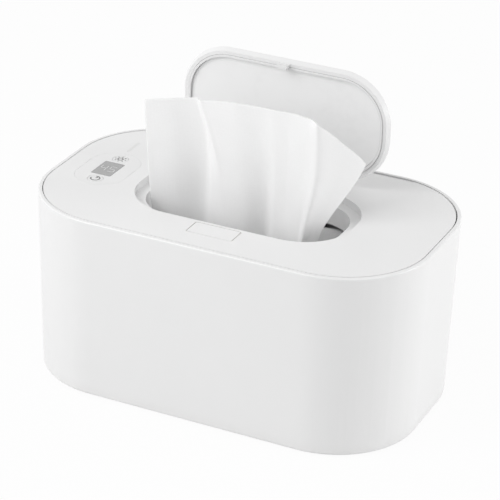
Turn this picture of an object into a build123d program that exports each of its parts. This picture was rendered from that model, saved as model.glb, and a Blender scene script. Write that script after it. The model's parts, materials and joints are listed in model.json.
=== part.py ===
from build123d import *
import os
from math import atan, cos, degrees, radians, sin

# A tabletop warmer for baby wipes. A tapered oval shell holds a heated tub of folded
# wipes. A flush cover closes the tub and is hinged at the rear rim. A small flip lid
# over the mouth of the cover stands open, and one wipe is pulled up through the mouth.
# Millimetres, +Z up, -Y is the front. The origin is the middle of the footprint, on
# the surface that the feet stand on.

os.makedirs("parts", exist_ok=True)

# ---------------------------------------------------------------- driving dimensions
# Shell
LENGTH = 240.0             # over the rim, left to right
WIDTH = 146.0              # over the rim, front to back
HEIGHT = 113.0             # from the table to the top face
CORNER_R = 54.0            # plan corner at the rim
DRAFT_INSET = 2.5          # the foot of the wall is this much further in than the rim
SHELL_WALL = 2.4
RIM_ROUND = 1.0            # outer edge of the rim
BASE_ROUND = 1.4           # outer edge at the foot
SHELF_WIDTH = 7.0          # inner shelf that carries the tub
SHELF_T = 2.0

# Foot and base
FOOT_PROUD = 1.0
FOOT_R = 6.0
FOOT_SINK = 1.2            # depth of the pocket that a foot is glued into
FOOT_IN_X = 38.0           # from the rim to the middle of a foot, at the ends
FOOT_IN_Y = 37.0           # the same, at the front and rear
BASE_T = 2.4
BASE_LIP_H = 4.0
BASE_LIP_T = 1.6
FIT_GAP = 0.3              # between pieces that are dropped into each other
POST_R = 4.5
POST_REACH = 8.5           # from the inner face of the wall to the middle of a post
POST_TOP = 19.0
BASE_SCREW_R = 1.5
BASE_HEAD_R = 3.0
BASE_HEAD_H = 1.4
BASE_SCREW_L = 11.0
PILOT_CLEAR = 0.02

# Cover
COVER_T = 2.2
COVER_GAP = 0.5            # seam between the cover and the rim
COVER_EASE = 0.8           # how much wider the seam is at the rear corners, which swing back
SKIRT_INSET = 1.2
SKIRT_T = 1.6
SEAT_LEFT = 54.7           # from the rim to the sunk seat of the flip lid, on each side
SEAT_RIGHT = 51.7
SEAT_AHEAD = 33.1
SEAT_BEHIND = 42.7
SEAT_FLAT = 8.2            # straight part of each end of the seat
SEAT_D = 4.5
LEDGE_W = 6.4
LEDGE_T = 2.0
SEAT_WALL = 1.8
COLLAR_H = 10.0            # collar that hangs below the ledge round the mouth
COLLAR_T = 1.6

# Rear hinge of the cover
HINGE_R = 2.0
HINGE_PIN_R = 0.8
HINGE_X = 34.0             # each of the two hinge stations
KNUCKLE_W = 14.0
LUG_W = 4.0
LUG_DROP = 5.0             # web under each lug
KNUCKLE_GAP = 0.3
PIN_CLEAR = 0.05

# Flip lid
LID_GAP = 0.5              # round the closed lid, in plan
LID_T = 3.6
LID_INSET = 2.0            # the underside is this much smaller than the top, each side
LID_SKIN = 1.6
LID_RIM_W = 2.0
LID_EDGE_ROUND = 0.5
LID_OPEN = 89.0
LID_AXIS_BACK = 9.5        # hinge axis behind the rear edge of the closed lid
LID_AXIS_DROP = 7.0        # hinge axis below the top face
ARM_T = 6.0
ARM_X = 19.0               # middle of each arm, from the middle of the lid
ARM_SLAB_T = 3.2
LID_PIN_R = 1.5
POCKET_GAP = 0.4
POCKET_WALL = 1.6
POCKET_CHEEK = 3.0
LINER_T = 0.8
SEAL_W = 1.5
SEAL_PROUD = 0.6           # how far the seal stands out of the lid's underside
LID_SPRING_WIRE_R = 0.45
LID_SPRING_TURNS = 7.5
LID_SPRING_PITCH = 2.2

# Catch of the flip lid
HOOK_W = 6.0
HOOK_T = 1.5
HOOK_NOSE = 1.6
HOOK_NOSE_T = 1.0
HOOK_BACK = 0.2            # from the front edge of the lid's underside to the tab
HOOK_SLOT_GAP = 0.6
LATCH_TRAVEL = 1.8
BOLT_T = 1.1
BOLT_W = 14.0
BOLT_NOSE_W = 9.0
BOLT_NOSE_L = 4.0
BOLT_BITE = 0.8            # how far the bolt covers the nose of the hook
BOLT_AIR = 0.4
BOLT_L = 17.0
RAMP_H = 2.3
RAMP_W = 8.0
RAMP_L = 2.2
WEDGE_GAP = 0.2
WEDGE_TIP = 1.0
WEDGE_RUN = 2.5
WEDGE_BEHIND = 2.75        # back of the wedge behind the middle of the button
BUTTON_L = 28.5
BUTTON_W = 13.5
BUTTON_IN = 24.25          # from the front rim to the middle of the button
BUTTON_R = 1.4
BUTTON_GAP = 0.35
BUTTON_WALL = 1.2
BUTTON_FLANGE = 0.8
BUTTON_FLANGE_T = 1.2
WELL_GAP = 0.3
WELL_T = 1.3
RAIL_H = 1.6
RAIL_W = 1.8
RAIL_SHELF = 1.6
STOP_T = 1.6
SPRING_WIRE_R = 0.22
SPRING_R = 1.0
SPRING_TURNS = 6
SPRING_PITCH = 1.0
COIL_POINTS = 24           # points measured on each turn of a coil

# Under plate of the cover
UNDER_T = 1.8
UNDER_SCREW_R = 1.2
UNDER_HEAD_R = 2.4
UNDER_HEAD_H = 1.0
UNDER_BOSS_R = 3.0
UNDER_SCREW_FRONT = (48.0, 23.0)    # from the rim's end and front or rear, to each pair
UNDER_SCREW_SIDE = (15.0, 43.0)
UNDER_SCREW_REAR = (58.0, 21.0)

# Control panel
PANEL_IN = 29.5            # from the left rim to the middle of the panel
PANEL_Y = -2.5
PANEL_W = 31.0
PANEL_L = 48.0
OVERLAY_T = 0.5
WINDOW_W = 13.0
WINDOW_L = 19.0
WINDOW_R = 0.8
WINDOW_FLANGE = 2.0
KEY_R = 4.6
KEY_OFFSET = 15.6          # each key from the middle of the panel
KEY_GAP = 0.2
KEY_TRAVEL = 0.6
KEY_FLANGE = 0.9
KEY_FLANGE_T = 0.6
PART_GAP = 0.2
LENS_FLANGE_T = 0.8
SWITCH_SIDE = 6.0
BOARD_T = 1.6
MODULE_H = 3.2
DISPLAY_BOARD_W = 26.0
DISPLAY_BOARD_L = 44.0
STATUS_W = 1.6
STATUS_L = 15.0
STATUS_IN = 28.0           # from the left rim
STATUS_BEHIND = 40.5       # from the rear rim

# Tub and heating
TANK_SIDE = 17.0           # from the rim to the inside of the tub, all round
TANK_R = 24.0
TANK_WALL = 1.8
TANK_FLOOR_R = 6.0
GASKET_H = 1.4
GASKET_W = 4.0
SEAL_AIR = 0.3
TANK_SCREW_R = 1.4
TANK_HEAD_R = 2.4
TANK_HEAD_H = 0.9
TANK_SCREW_L = 5.0
TANK_SCREW_IN = 8.0        # from the inner face of the wall
TANK_SCREW_OUT = 24.0      # from the middle line to each screw
TANK_BOSS_R = 3.2
TANK_BOSS_H = 4.0
SPREADER_T = 1.2
SPREADER_MARGIN = 6.0
FILM_T = 0.8
FILM_MARGIN = 4.0
FILM_TAB = 7.0             # tab for the leads, behind the film
PAD_T = 5.0
PAD_MARGIN = 3.0
JACKET_T = 4.0
JACKET_LOW = 6.0
JACKET_HIGH = 5.0
CUTOFF_SIZE = (12.0, 6.0, 3.4)
CUTOFF_AT = (-30.0, 0.0)
SENSOR_R = 1.6
SENSOR_L = 9.0
SENSOR_AT = (30.0, 0.0)
SENSOR_WINDOW = 1.2

# Control electronics
CONTROL_L = 76.0
CONTROL_W = 40.0
CONTROL_BEHIND = 9.5       # from the rear rim to the rear edge of the board
BOARD_AIR = 1.0            # from the tallest piece on the board to the heater film
STANDOFF_H = 5.0
STANDOFF_R = 2.6
JACK_W = 9.0
JACK_D = 13.6
JACK_H = 11.0
JACK_NOSE_R = 4.0
JACK_BORE_R = 3.1
JACK_BORE_D = 9.5
JACK_PIN_R = 1.0
JACK_SET_BACK = 0.3
LEAD_R = 0.7
LEAD_BEND = 5.0
LEAD_X = (22.0, 27.0)
CONNECTOR = (12.0, 6.0, 5.0)
CAPACITOR_R = 4.0
CAPACITOR_H = 9.0
CAPACITOR_AT = (-24.0, -10.5)   # from the middle of the rear edge of the board
CHIP = (10.0, 10.0, 1.6)
CHIP_AT = (-12.0, -27.5)
REGULATOR = (10.0, 4.5, 9.0)
REGULATOR_AT = (-10.0, -9.5)

# Wipes
STACK_SIDE_X = 9.0         # from the tub's wall to the stack, at the ends
STACK_SIDE_Y = 7.0         # the same, at the front and rear
STACK_H = 38.0
STACK_R = 7.0
STACK_ROUND = 3.0
WIPE_T = 1.4               # the doubled sheet
WIPE_CLEAR = 0.3           # tail of the sheet above the stack
WIPE_MOUTH_DOWN = 9.0      # from the top face down to the section in the mouth
WIPE_CORNER_UP = 31.5      # from the top face up to where its free right corner hangs
WIPE_UP = 63.0             # from the top face up to its highest edge
WIPE_SPARE = 2.0           # cut off above the highest edge
# Folds of the sheet, left to right, at four heights: the ends of each fold (X, Y) and
# how far it bulges, negative to the front
WIPE_TAIL_ENDS = ((-52, -10), (-26, -5), (-10, -12), (9, -5), (26, -12), (38, -14), (45, -9))
WIPE_TAIL_BULGE = (-2, -0.5, -2, -0.5, -1, -1)
WIPE_MOUTH_ENDS = ((-57, -10), (-28, -4), (-10, -13), (9.5, -4), (28, -14), (39.5, -16), (47.5, -9))
WIPE_MOUTH_BULGE = (-2.5, -0.5, -3, -0.5, -1, -1)
WIPE_CORNER_ENDS = ((-60, -10), (-30, -8), (-20, -11.5), (9, -9), (28, -11), (47, -13.5), (66, 12))
WIPE_CORNER_BULGE = (-1.5, -0.5, -1, -0.5, -0.5, -1)
WIPE_TOP_ENDS = ((-62, -10), (-36, -9.5), (-31, -10.5), (8, -10), (28, -10.5), (47.5, -12.5), (66, 12))
WIPE_TOP_BULGE = (-0.5, -0.5, -0.5, -0.5, -0.5, -1)
# Free edge of the sheet, seen from the front: X, and how far it is below the highest point
WIPE_EDGE = ((-62, 9), (-36, 4), (-10, 1), (30, 0), (47, 2))
WIPE_FREE_X = 66.5         # its free right corner

# ------------------------------------------------------------------- derived places
SHELL_H = HEIGHT - FOOT_PROUD
DRAFT = degrees(atan(DRAFT_INSET / SHELL_H))

SKIN_Z = HEIGHT - COVER_T
LEDGE_Z = HEIGHT - SEAT_D
LEDGE_UNDER = LEDGE_Z - LEDGE_T
BOLT_Z = LEDGE_UNDER - BOLT_AIR - BOLT_T
UNDER_TOP = BOLT_Z - RAIL_H
UNDER_Z = UNDER_TOP - UNDER_T
SKIRT_Z = UNDER_Z - 2 * FIT_GAP
FLANGE_TOP = SKIRT_Z - SEAL_AIR - GASKET_H
FLANGE_Z = FLANGE_TOP - TANK_WALL
SHELF_Z = FLANGE_Z - SHELF_T
BASE_TOP = FOOT_PROUD + BASE_T
CONTROL_Z = BASE_TOP + STANDOFF_H
CONTROL_TOP = CONTROL_Z + BOARD_T
CONTROL_REAR = WIDTH / 2 - CONTROL_BEHIND
CONTROL_Y = CONTROL_REAR - CONTROL_W / 2
JACK_Z = CONTROL_TOP + JACK_H / 2
FILM_Z = CONTROL_TOP + max(JACK_H, CAPACITOR_H, REGULATOR[2]) + BOARD_AIR
PAD_TOP = FILM_Z - FIT_GAP
SPREADER_Z = FILM_Z + FILM_T
TANK_UNDER = SPREADER_Z + SPREADER_T
TANK_FLOOR = TANK_UNDER + TANK_WALL
TANK_DEPTH = FLANGE_TOP - TANK_FLOOR
TANK_L = LENGTH - 2 * TANK_SIDE
TANK_W = WIDTH - 2 * TANK_SIDE
STACK_L = TANK_L - 2 * STACK_SIDE_X
STACK_W = TANK_W - 2 * STACK_SIDE_Y

HINGE_Y = WIDTH / 2 - SHELL_WALL
HINGE_Z = HEIGHT - HINGE_R
HINGE_REACH = HINGE_R + 2 * PIN_CLEAR + KNUCKLE_GAP
COVER_REAR = HINGE_Y - HINGE_REACH

WALL_TO_SKIRT = SHELL_WALL + COVER_GAP + SKIRT_INSET

SEAT_L = LENGTH - SEAT_LEFT - SEAT_RIGHT
SEAT_W = WIDTH - SEAT_AHEAD - SEAT_BEHIND
SEAT_R = (SEAT_W - SEAT_FLAT) / 2
SEAT_X = (SEAT_LEFT - SEAT_RIGHT) / 2
SEAT_Y = (SEAT_AHEAD - SEAT_BEHIND) / 2
LID_L = SEAT_L - 2 * LID_GAP
LID_W = SEAT_W - 2 * LID_GAP
LID_R = SEAT_R - LID_GAP
SEAT_REAR = SEAT_Y + SEAT_W / 2
SEAT_FRONT = SEAT_Y - SEAT_W / 2
LID_AXIS_Y = SEAT_REAR - LID_GAP + LID_AXIS_BACK
LID_AXIS_Z = HEIGHT - LID_AXIS_DROP
ARM_R = LID_AXIS_DROP
POCKET_R = ARM_R + POCKET_GAP
POCKET_W = 2 * ARM_X + ARM_T + 2 * POCKET_GAP

LID_UNDER = HEIGHT - LID_T
SLAB_IN = ARM_R - ARM_SLAB_T
LID_SPRING_R = SLAB_IN - LID_SPRING_WIRE_R - PART_GAP
COLLAR_Z = LEDGE_UNDER - COLLAR_H
BUTTON_Y = BUTTON_IN - WIDTH / 2
WELL_Z = BOLT_Z + BOLT_T + 2 * BOLT_AIR
HOOK_REAR = SEAT_FRONT + LID_GAP + LID_INSET + HOOK_BACK + HOOK_T
HOOK_FRONT = HOOK_REAR - HOOK_T
HOOK_TIP_Y = HOOK_FRONT - HOOK_NOSE
HOOK_TIP_Z = BOLT_Z - PART_GAP - HOOK_NOSE_T
BOLT_TIP = HOOK_TIP_Y + BOLT_BITE
BOLT_END = BOLT_TIP - BOLT_L
WEDGE_BACK = BUTTON_Y + WEDGE_BEHIND
WEDGE_TIP_Y = WEDGE_BACK - WEDGE_TIP
WEDGE_TIP_Z = BOLT_Z + BOLT_T + PART_GAP
SPRING_END = BOLT_END - SPRING_TURNS * SPRING_PITCH - 2 * SPRING_WIRE_R
LENS_FLANGE_Z = SKIN_Z - LENS_FLANGE_T
DISPLAY_Z = LENS_FLANGE_Z - PART_GAP - MODULE_H
STACK_TOP = TANK_FLOOR + STACK_H
PANEL_X = PANEL_IN - LENGTH / 2
STATUS_X = STATUS_IN - LENGTH / 2
STATUS_Y = WIDTH / 2 - STATUS_BEHIND
WIPE_MOUTH_Z = HEIGHT - WIPE_MOUTH_DOWN
WIPE_CORNER_Z = HEIGHT + WIPE_CORNER_UP
WIPE_TOP = HEIGHT + WIPE_UP
KEY_Y = (PANEL_Y - KEY_OFFSET, PANEL_Y + KEY_OFFSET)


def half_width(z):
    """Half of the shell's outer width at height z."""
    return WIDTH / 2 - DRAFT_INSET * (HEIGHT - z) / SHELL_H


def oval(z, length, width, radius, x=0.0, y=0.0):
    """A rounded rectangle lying at height z."""
    with BuildSketch(Plane.XY.offset(z)) as flat:
        with Locations((x, y)):
            RectangleRounded(length, width, radius)
    return flat.sketch


def shell_oval(z, inset):
    """The shell's outline at height z, moved in by inset."""
    inward = inset + DRAFT_INSET * (HEIGHT - z) / SHELL_H
    return oval(z, LENGTH - 2 * inward, WIDTH - 2 * inward, CORNER_R - inward)


def seat_oval(z, inset):
    """The outline of the lid's seat at height z, moved in by inset."""
    return oval(z, SEAT_L - 2 * inset, SEAT_W - 2 * inset, SEAT_R - inset, SEAT_X, SEAT_Y)


def tank_oval(z, outset):
    """The outline of the tub's cavity at height z, moved out by outset."""
    return oval(z, TANK_L + 2 * outset, TANK_W + 2 * outset, TANK_R + outset)


def block(x0, x1, y0, y1, z0, z1, mode=Mode.ADD):
    """A box between two corners, in the block that calls it."""
    with Locations(((x0 + x1) / 2, (y0 + y1) / 2, (z0 + z1) / 2)):
        Box(x1 - x0, y1 - y0, z1 - z0, mode=mode)


def along_x(radius, x0, x1, y, z, mode=Mode.ADD):
    """A cylinder that lies along X, in the block that calls it."""
    with Locations(Location(((x0 + x1) / 2, y, z), (0, 90, 0))):
        Cylinder(radius, x1 - x0, mode=mode)


def save(piece, label):
    """Label a finished piece and write it."""
    piece.part.label = label
    export_step(piece.part, f"parts/{label}.step")


# --------------------------------------------------------------------------- shell
post_spots = []
for side_x in (-1, 1):
    for side_y in (-1, 1):
        reach = CORNER_R - DRAFT_INSET - SHELL_WALL - POST_REACH
        corner_x = LENGTH / 2 - CORNER_R
        corner_y = WIDTH / 2 - CORNER_R
        slant = radians(45)
        post_spots.append((side_x * (corner_x + reach * cos(slant)),
                           side_y * (corner_y + reach * sin(slant))))

under_screw_spots = []
for spot, rear in ((UNDER_SCREW_FRONT, -1), (UNDER_SCREW_SIDE, 1), (UNDER_SCREW_REAR, 1)):
    for side in (-1, 1):
        under_screw_spots.append((side * (LENGTH / 2 - spot[0]), rear * (WIDTH / 2 - spot[1])))
tank_screw_x = LENGTH / 2 - SHELL_WALL - TANK_SCREW_IN
tank_screw_spots = [(x, y) for x in (-tank_screw_x, tank_screw_x)
                    for y in (-TANK_SCREW_OUT, TANK_SCREW_OUT)]
knuckle_spots = (-HINGE_X, HINGE_X)
notch_half = KNUCKLE_W / 2 + KNUCKLE_GAP

with BuildPart() as outer_shell:
    extrude(shell_oval(FOOT_PROUD, 0), amount=SHELL_H, taper=-DRAFT)
    rim = outer_shell.edges().group_by(Axis.Z)[-1]
    foot = outer_shell.edges().group_by(Axis.Z)[0]
    fillet(rim, RIM_ROUND)
    fillet(foot, BASE_ROUND)
    extrude(shell_oval(FOOT_PROUD, SHELL_WALL), amount=SHELL_H, taper=-DRAFT, mode=Mode.SUBTRACT)
    # Shelf that carries the tub
    extrude(shell_oval(SHELF_Z, SHELL_WALL / 2), amount=SHELF_T)
    extrude(shell_oval(SHELF_Z, SHELL_WALL + SHELF_WIDTH), amount=SHELF_T, mode=Mode.SUBTRACT)
    with Locations([(x, y, FLANGE_Z - TANK_BOSS_H / 2) for x, y in tank_screw_spots]):
        Cylinder(TANK_BOSS_R, TANK_BOSS_H)
        Cylinder(TANK_SCREW_R + PILOT_CLEAR, TANK_BOSS_H, mode=Mode.SUBTRACT)
    # Screw posts, each tied to the wall by a web
    for post_x, post_y in post_spots:
        turn = 45 if post_x * post_y > 0 else -45
        outward = 1 if post_x > 0 else -1
        web_l = POST_REACH + SHELL_WALL / 2
        with BuildSketch(Plane.XY.offset(BASE_TOP + BASE_LIP_H + FIT_GAP)):
            with Locations((post_x, post_y)):
                Circle(POST_R)
            with Locations(Location((post_x, post_y, 0), (0, 0, turn))):
                with Locations((outward * web_l / 2, 0)):
                    Rectangle(web_l, 2 * BASE_LIP_T)
        extrude(amount=POST_TOP - BASE_TOP - BASE_LIP_H - FIT_GAP)
    with Locations([(x, y, POST_TOP / 2) for x, y in post_spots]):
        Cylinder(BASE_SCREW_R + PILOT_CLEAR, POST_TOP - 4 * FOOT_PROUD, mode=Mode.SUBTRACT)
    # Rear hinge: lugs on the rim, and a notch between each pair for the knuckle
    for station in knuckle_spots:
        for side in (-1, 1):
            lug_x = station + side * (notch_half + LUG_W / 2)
            along_x(HINGE_R, lug_x - LUG_W / 2, lug_x + LUG_W / 2, HINGE_Y, HINGE_Z)
            block(lug_x - LUG_W / 2, lug_x + LUG_W / 2, HINGE_Y - HINGE_R,
                  HINGE_Y + SHELL_WALL / 2, HINGE_Z - LUG_DROP, HINGE_Z)
        block(station - notch_half, station + notch_half,
              HINGE_Y - 2 * HINGE_R, WIDTH / 2 + HINGE_R,
              HINGE_Z - HINGE_R - KNUCKLE_GAP, HEIGHT + HINGE_R, mode=Mode.SUBTRACT)
        reach_x = notch_half + LUG_W + FIT_GAP
        along_x(HINGE_PIN_R + PILOT_CLEAR, station - reach_x, station + reach_x,
                HINGE_Y, HINGE_Z, mode=Mode.SUBTRACT)
    # Hole for the power inlet
    with Locations(Location((0, half_width(JACK_Z), JACK_Z), (90, 0, 0))):
        Cylinder(JACK_NOSE_R + FIT_GAP / 2, 4 * SHELL_WALL, mode=Mode.SUBTRACT)
save(outer_shell, "outer_shell")

with BuildPart() as cover_hinge_pins:
    for station in knuckle_spots:
        reach_x = notch_half + LUG_W
        along_x(HINGE_PIN_R, station - reach_x, station + reach_x, HINGE_Y, HINGE_Z)
save(cover_hinge_pins, "cover_hinge_pins")

# ---------------------------------------------------------------------------- base
foot_x = LENGTH / 2 - FOOT_IN_X
foot_y = WIDTH / 2 - FOOT_IN_Y
foot_spots = [(x, y) for x in (-foot_x, foot_x) for y in (-foot_y, foot_y)]
standoff_x = CONTROL_L / 2 - 1.5 * STANDOFF_R
standoff_y = CONTROL_W / 2 - 1.5 * STANDOFF_R
standoff_spots = [(x, CONTROL_Y + y) for x in (-standoff_x, standoff_x)
                  for y in (-standoff_y, standoff_y)]

with BuildPart() as base_cover:
    extrude(shell_oval(FOOT_PROUD, SHELL_WALL + FIT_GAP), amount=BASE_T + BASE_LIP_H)
    with BuildSketch(Plane.XY.offset(BASE_TOP)):
        inner_side = DRAFT_INSET + SHELL_WALL + FIT_GAP + BASE_LIP_T
        RectangleRounded(LENGTH - 2 * inner_side, WIDTH - 2 * inner_side, CORNER_R - inner_side)
    extrude(amount=BASE_LIP_H, mode=Mode.SUBTRACT)
    with Locations([(x, y, BASE_TOP + STANDOFF_H / 2) for x, y in standoff_spots]):
        Cylinder(STANDOFF_R, STANDOFF_H)
    with Locations([(x, y, FOOT_PROUD + FOOT_SINK / 2) for x, y in foot_spots]):
        Cylinder(FOOT_R + FIT_GAP / 2, FOOT_SINK, mode=Mode.SUBTRACT)
    with Locations([(x, y, FOOT_PROUD + BASE_T / 2) for x, y in post_spots]):
        Cylinder(BASE_SCREW_R + FIT_GAP, BASE_T + BASE_T, mode=Mode.SUBTRACT)
    with Locations([(x, y, FOOT_PROUD + BASE_HEAD_H / 2) for x, y in post_spots]):
        Cylinder(BASE_HEAD_R + FIT_GAP, BASE_HEAD_H, mode=Mode.SUBTRACT)
    # A sleeve closes the space between the base and each post
    with Locations([(x, y, BASE_TOP + BASE_LIP_H / 2) for x, y in post_spots]):
        Cylinder(POST_R, BASE_LIP_H)
        Cylinder(BASE_SCREW_R + FIT_GAP, BASE_LIP_H, mode=Mode.SUBTRACT)
save(base_cover, "base_cover")

with BuildPart() as rubber_feet:
    with Locations([(x, y, (FOOT_PROUD + FOOT_SINK) / 2) for x, y in foot_spots]):
        Cylinder(FOOT_R, FOOT_PROUD + FOOT_SINK)
    fillet(rubber_feet.edges().group_by(Axis.Z)[0], FOOT_PROUD / 3)
save(rubber_feet, "rubber_feet")

with BuildPart() as base_screws:
    head_z = FOOT_PROUD + BASE_HEAD_H
    with Locations([(x, y, head_z - BASE_HEAD_H / 2) for x, y in post_spots]):
        Cylinder(BASE_HEAD_R, BASE_HEAD_H)
        Cylinder(BASE_HEAD_R / 2, BASE_HEAD_H / 2, align=(Align.CENTER, Align.CENTER, Align.MAX),
                 mode=Mode.SUBTRACT)
    with Locations([(x, y, head_z + BASE_SCREW_L / 2) for x, y in post_spots]):
        Cylinder(BASE_SCREW_R, BASE_SCREW_L)
save(base_screws, "base_screws")

# ----------------------------------------------------------------------------- tub
with BuildPart() as cavity:
    extrude(tank_oval(TANK_FLOOR, 0), amount=TANK_DEPTH)
    fillet(cavity.edges().group_by(Axis.Z)[0], TANK_FLOOR_R - TANK_WALL / 2)

with BuildPart() as inner_tank:
    extrude(tank_oval(TANK_UNDER, TANK_WALL), amount=FLANGE_TOP - TANK_UNDER)
    fillet(inner_tank.edges().group_by(Axis.Z)[0], TANK_FLOOR_R)
    extrude(shell_oval(FLANGE_Z, SHELL_WALL + FIT_GAP), amount=TANK_WALL)
    add(cavity.part, mode=Mode.SUBTRACT)
    with Locations([(x, y, FLANGE_Z + TANK_WALL / 2) for x, y in tank_screw_spots]):
        Cylinder(TANK_SCREW_R + FIT_GAP, 2 * TANK_WALL, mode=Mode.SUBTRACT)
save(inner_tank, "inner_tank")

with BuildPart() as tank_screws:
    with Locations([(x, y, FLANGE_TOP + TANK_HEAD_H / 2) for x, y in tank_screw_spots]):
        Cylinder(TANK_HEAD_R, TANK_HEAD_H)
    with Locations([(x, y, FLANGE_TOP - TANK_SCREW_L / 2) for x, y in tank_screw_spots]):
        Cylinder(TANK_SCREW_R, TANK_SCREW_L)
save(tank_screws, "tank_screws")

gasket_in = WALL_TO_SKIRT + SKIRT_T / 2 - GASKET_W / 2
with BuildPart() as cover_gasket:
    extrude(shell_oval(FLANGE_TOP, gasket_in), amount=GASKET_H)
    extrude(shell_oval(FLANGE_TOP, gasket_in + GASKET_W), amount=GASKET_H, mode=Mode.SUBTRACT)
save(cover_gasket, "cover_gasket")

with BuildPart() as heat_spreader:
    extrude(tank_oval(SPREADER_Z, -SPREADER_MARGIN), amount=SPREADER_T)
save(heat_spreader, "heat_spreader")

lead_middle = sum(LEAD_X) / len(LEAD_X)
film_rear = TANK_W / 2 - SPREADER_MARGIN - FILM_MARGIN
with BuildPart() as heater_film:
    extrude(tank_oval(FILM_Z, -SPREADER_MARGIN - FILM_MARGIN), amount=FILM_T)
    block(lead_middle - CONNECTOR[0] / 2, lead_middle + CONNECTOR[0] / 2,
          film_rear - FILM_TAB, film_rear + FILM_TAB, FILM_Z, SPREADER_Z)
save(heater_film, "heater_film")

with BuildPart() as insulation_jacket:
    jacket_z = TANK_UNDER + JACKET_LOW
    jacket_h = FLANGE_Z - JACKET_HIGH - jacket_z
    extrude(tank_oval(jacket_z, TANK_WALL + FIT_GAP + JACKET_T), amount=jacket_h)
    extrude(tank_oval(jacket_z, TANK_WALL + FIT_GAP), amount=jacket_h, mode=Mode.SUBTRACT)
save(insulation_jacket, "insulation_jacket")

with BuildPart() as insulation_pad:
    pad_edge = SPREADER_MARGIN + FILM_MARGIN + PAD_MARGIN
    extrude(tank_oval(PAD_TOP - PAD_T, -pad_edge), amount=PAD_T)
    with Locations((CUTOFF_AT[0], CUTOFF_AT[1], PAD_TOP - PAD_T / 2)):
        Box(CUTOFF_SIZE[0] + 2 * SENSOR_WINDOW, CUTOFF_SIZE[1] + 2 * SENSOR_WINDOW, PAD_T,
            mode=Mode.SUBTRACT)
    with Locations((SENSOR_AT[0], SENSOR_AT[1], PAD_TOP - PAD_T / 2)):
        Box(SENSOR_L + 2 * SENSOR_WINDOW, 2 * (SENSOR_R + SENSOR_WINDOW), PAD_T,
            mode=Mode.SUBTRACT)
save(insulation_pad, "insulation_pad")

with BuildPart() as thermal_cutoff:
    with Locations((CUTOFF_AT[0], CUTOFF_AT[1], FILM_Z - CUTOFF_SIZE[2] / 2)):
        Box(*CUTOFF_SIZE)
    fillet(thermal_cutoff.edges().filter_by(Axis.Z), CUTOFF_SIZE[1] / 5)
save(thermal_cutoff, "thermal_cutoff")

with BuildPart() as temperature_sensor:
    along_x(SENSOR_R, SENSOR_AT[0] - SENSOR_L / 2, SENSOR_AT[0] + SENSOR_L / 2,
            SENSOR_AT[1], FILM_Z - SENSOR_R - PILOT_CLEAR)
    fillet(temperature_sensor.edges().group_by(Axis.X)[-1], SENSOR_R / 2)
save(temperature_sensor, "temperature_sensor")

# --------------------------------------------------------------- power and control
with BuildPart() as control_board:
    with BuildSketch(Plane.XY.offset(CONTROL_Z)):
        with Locations((0, CONTROL_Y)):
            RectangleRounded(CONTROL_L, CONTROL_W, STANDOFF_R / 2)
    extrude(amount=BOARD_T)
save(control_board, "control_board")

connector_y = film_rear - FILM_TAB
with BuildPart() as board_components:
    with Locations((lead_middle, connector_y, CONTROL_TOP + CONNECTOR[2] / 2)):
        Box(*CONNECTOR)
    with Locations((CHIP_AT[0], CONTROL_REAR + CHIP_AT[1], CONTROL_TOP + CHIP[2] / 2)):
        Box(*CHIP)
    with Locations((REGULATOR_AT[0], CONTROL_REAR + REGULATOR_AT[1], CONTROL_TOP + REGULATOR[2] / 2)):
        Box(*REGULATOR)
    with Locations((CAPACITOR_AT[0], CONTROL_REAR + CAPACITOR_AT[1], CONTROL_TOP + CAPACITOR_H / 2)):
        Cylinder(CAPACITOR_R, CAPACITOR_H)
save(board_components, "board_components")

jack_face = half_width(JACK_Z) - SHELL_WALL - PART_GAP
nose_end = half_width(JACK_Z) - JACK_SET_BACK
with BuildPart() as dc_jack:
    block(-JACK_W / 2, JACK_W / 2, jack_face - JACK_D, jack_face, CONTROL_TOP, CONTROL_TOP + JACK_H)
    with Locations(Location((0, (jack_face + nose_end) / 2, JACK_Z), (90, 0, 0))):
        Cylinder(JACK_NOSE_R, nose_end - jack_face)
    with Locations(Location((0, nose_end - JACK_BORE_D / 2, JACK_Z), (90, 0, 0))):
        Cylinder(JACK_BORE_R, JACK_BORE_D, mode=Mode.SUBTRACT)
save(dc_jack, "dc_jack")

with BuildPart() as jack_contact:
    with Locations(Location((0, nose_end - JACK_BORE_D / 2 - SHELL_WALL / 2, JACK_Z), (90, 0, 0))):
        Cylinder(JACK_PIN_R, JACK_BORE_D - SHELL_WALL)
    fillet(jack_contact.edges().group_by(Axis.Y)[-1], JACK_PIN_R / 2)
save(jack_contact, "jack_contact")

lead_start = connector_y + CONNECTOR[1] / 2
lead_rise = film_rear + FILM_TAB / 2
lead_z = CONTROL_TOP + CONNECTOR[2] / 2
with BuildPart() as heater_leads:
    for lead_x in LEAD_X:
        with BuildLine() as route:
            FilletPolyline((lead_x, lead_start, lead_z), (lead_x, lead_rise, lead_z),
                           (lead_x, lead_rise, FILM_Z),
                           radius=min(LEAD_BEND, (FILM_Z - lead_z) / 2))
        with BuildSketch(Plane((lead_x, lead_start, lead_z), z_dir=(0, 1, 0))):
            Circle(LEAD_R)
        sweep(path=route.line)
save(heater_leads, "heater_leads")

# --------------------------------------------------------------------------- wipes
with BuildPart() as wipe_stack:
    extrude(oval(TANK_FLOOR, STACK_L, STACK_W, STACK_R), amount=STACK_H)
    fillet(wipe_stack.faces().sort_by(Axis.Z)[0].edges(), STACK_ROUND)
    fillet(wipe_stack.faces().sort_by(Axis.Z)[-1].edges(), STACK_ROUND)
save(wipe_stack, "wipe_stack")


def fold_line(z, ends, bulges, back):
    """One edge of the folded sheet at height z: an arc for each fold."""
    for (x0, y0), (x1, y1), bulge in zip(ends, ends[1:], bulges):
        middle = ((x0 + x1) / 2, (y0 + y1) / 2 + bulge + back, z)
        ThreePointArc((x0, y0 + back, z), middle, (x1, y1 + back, z))


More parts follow.
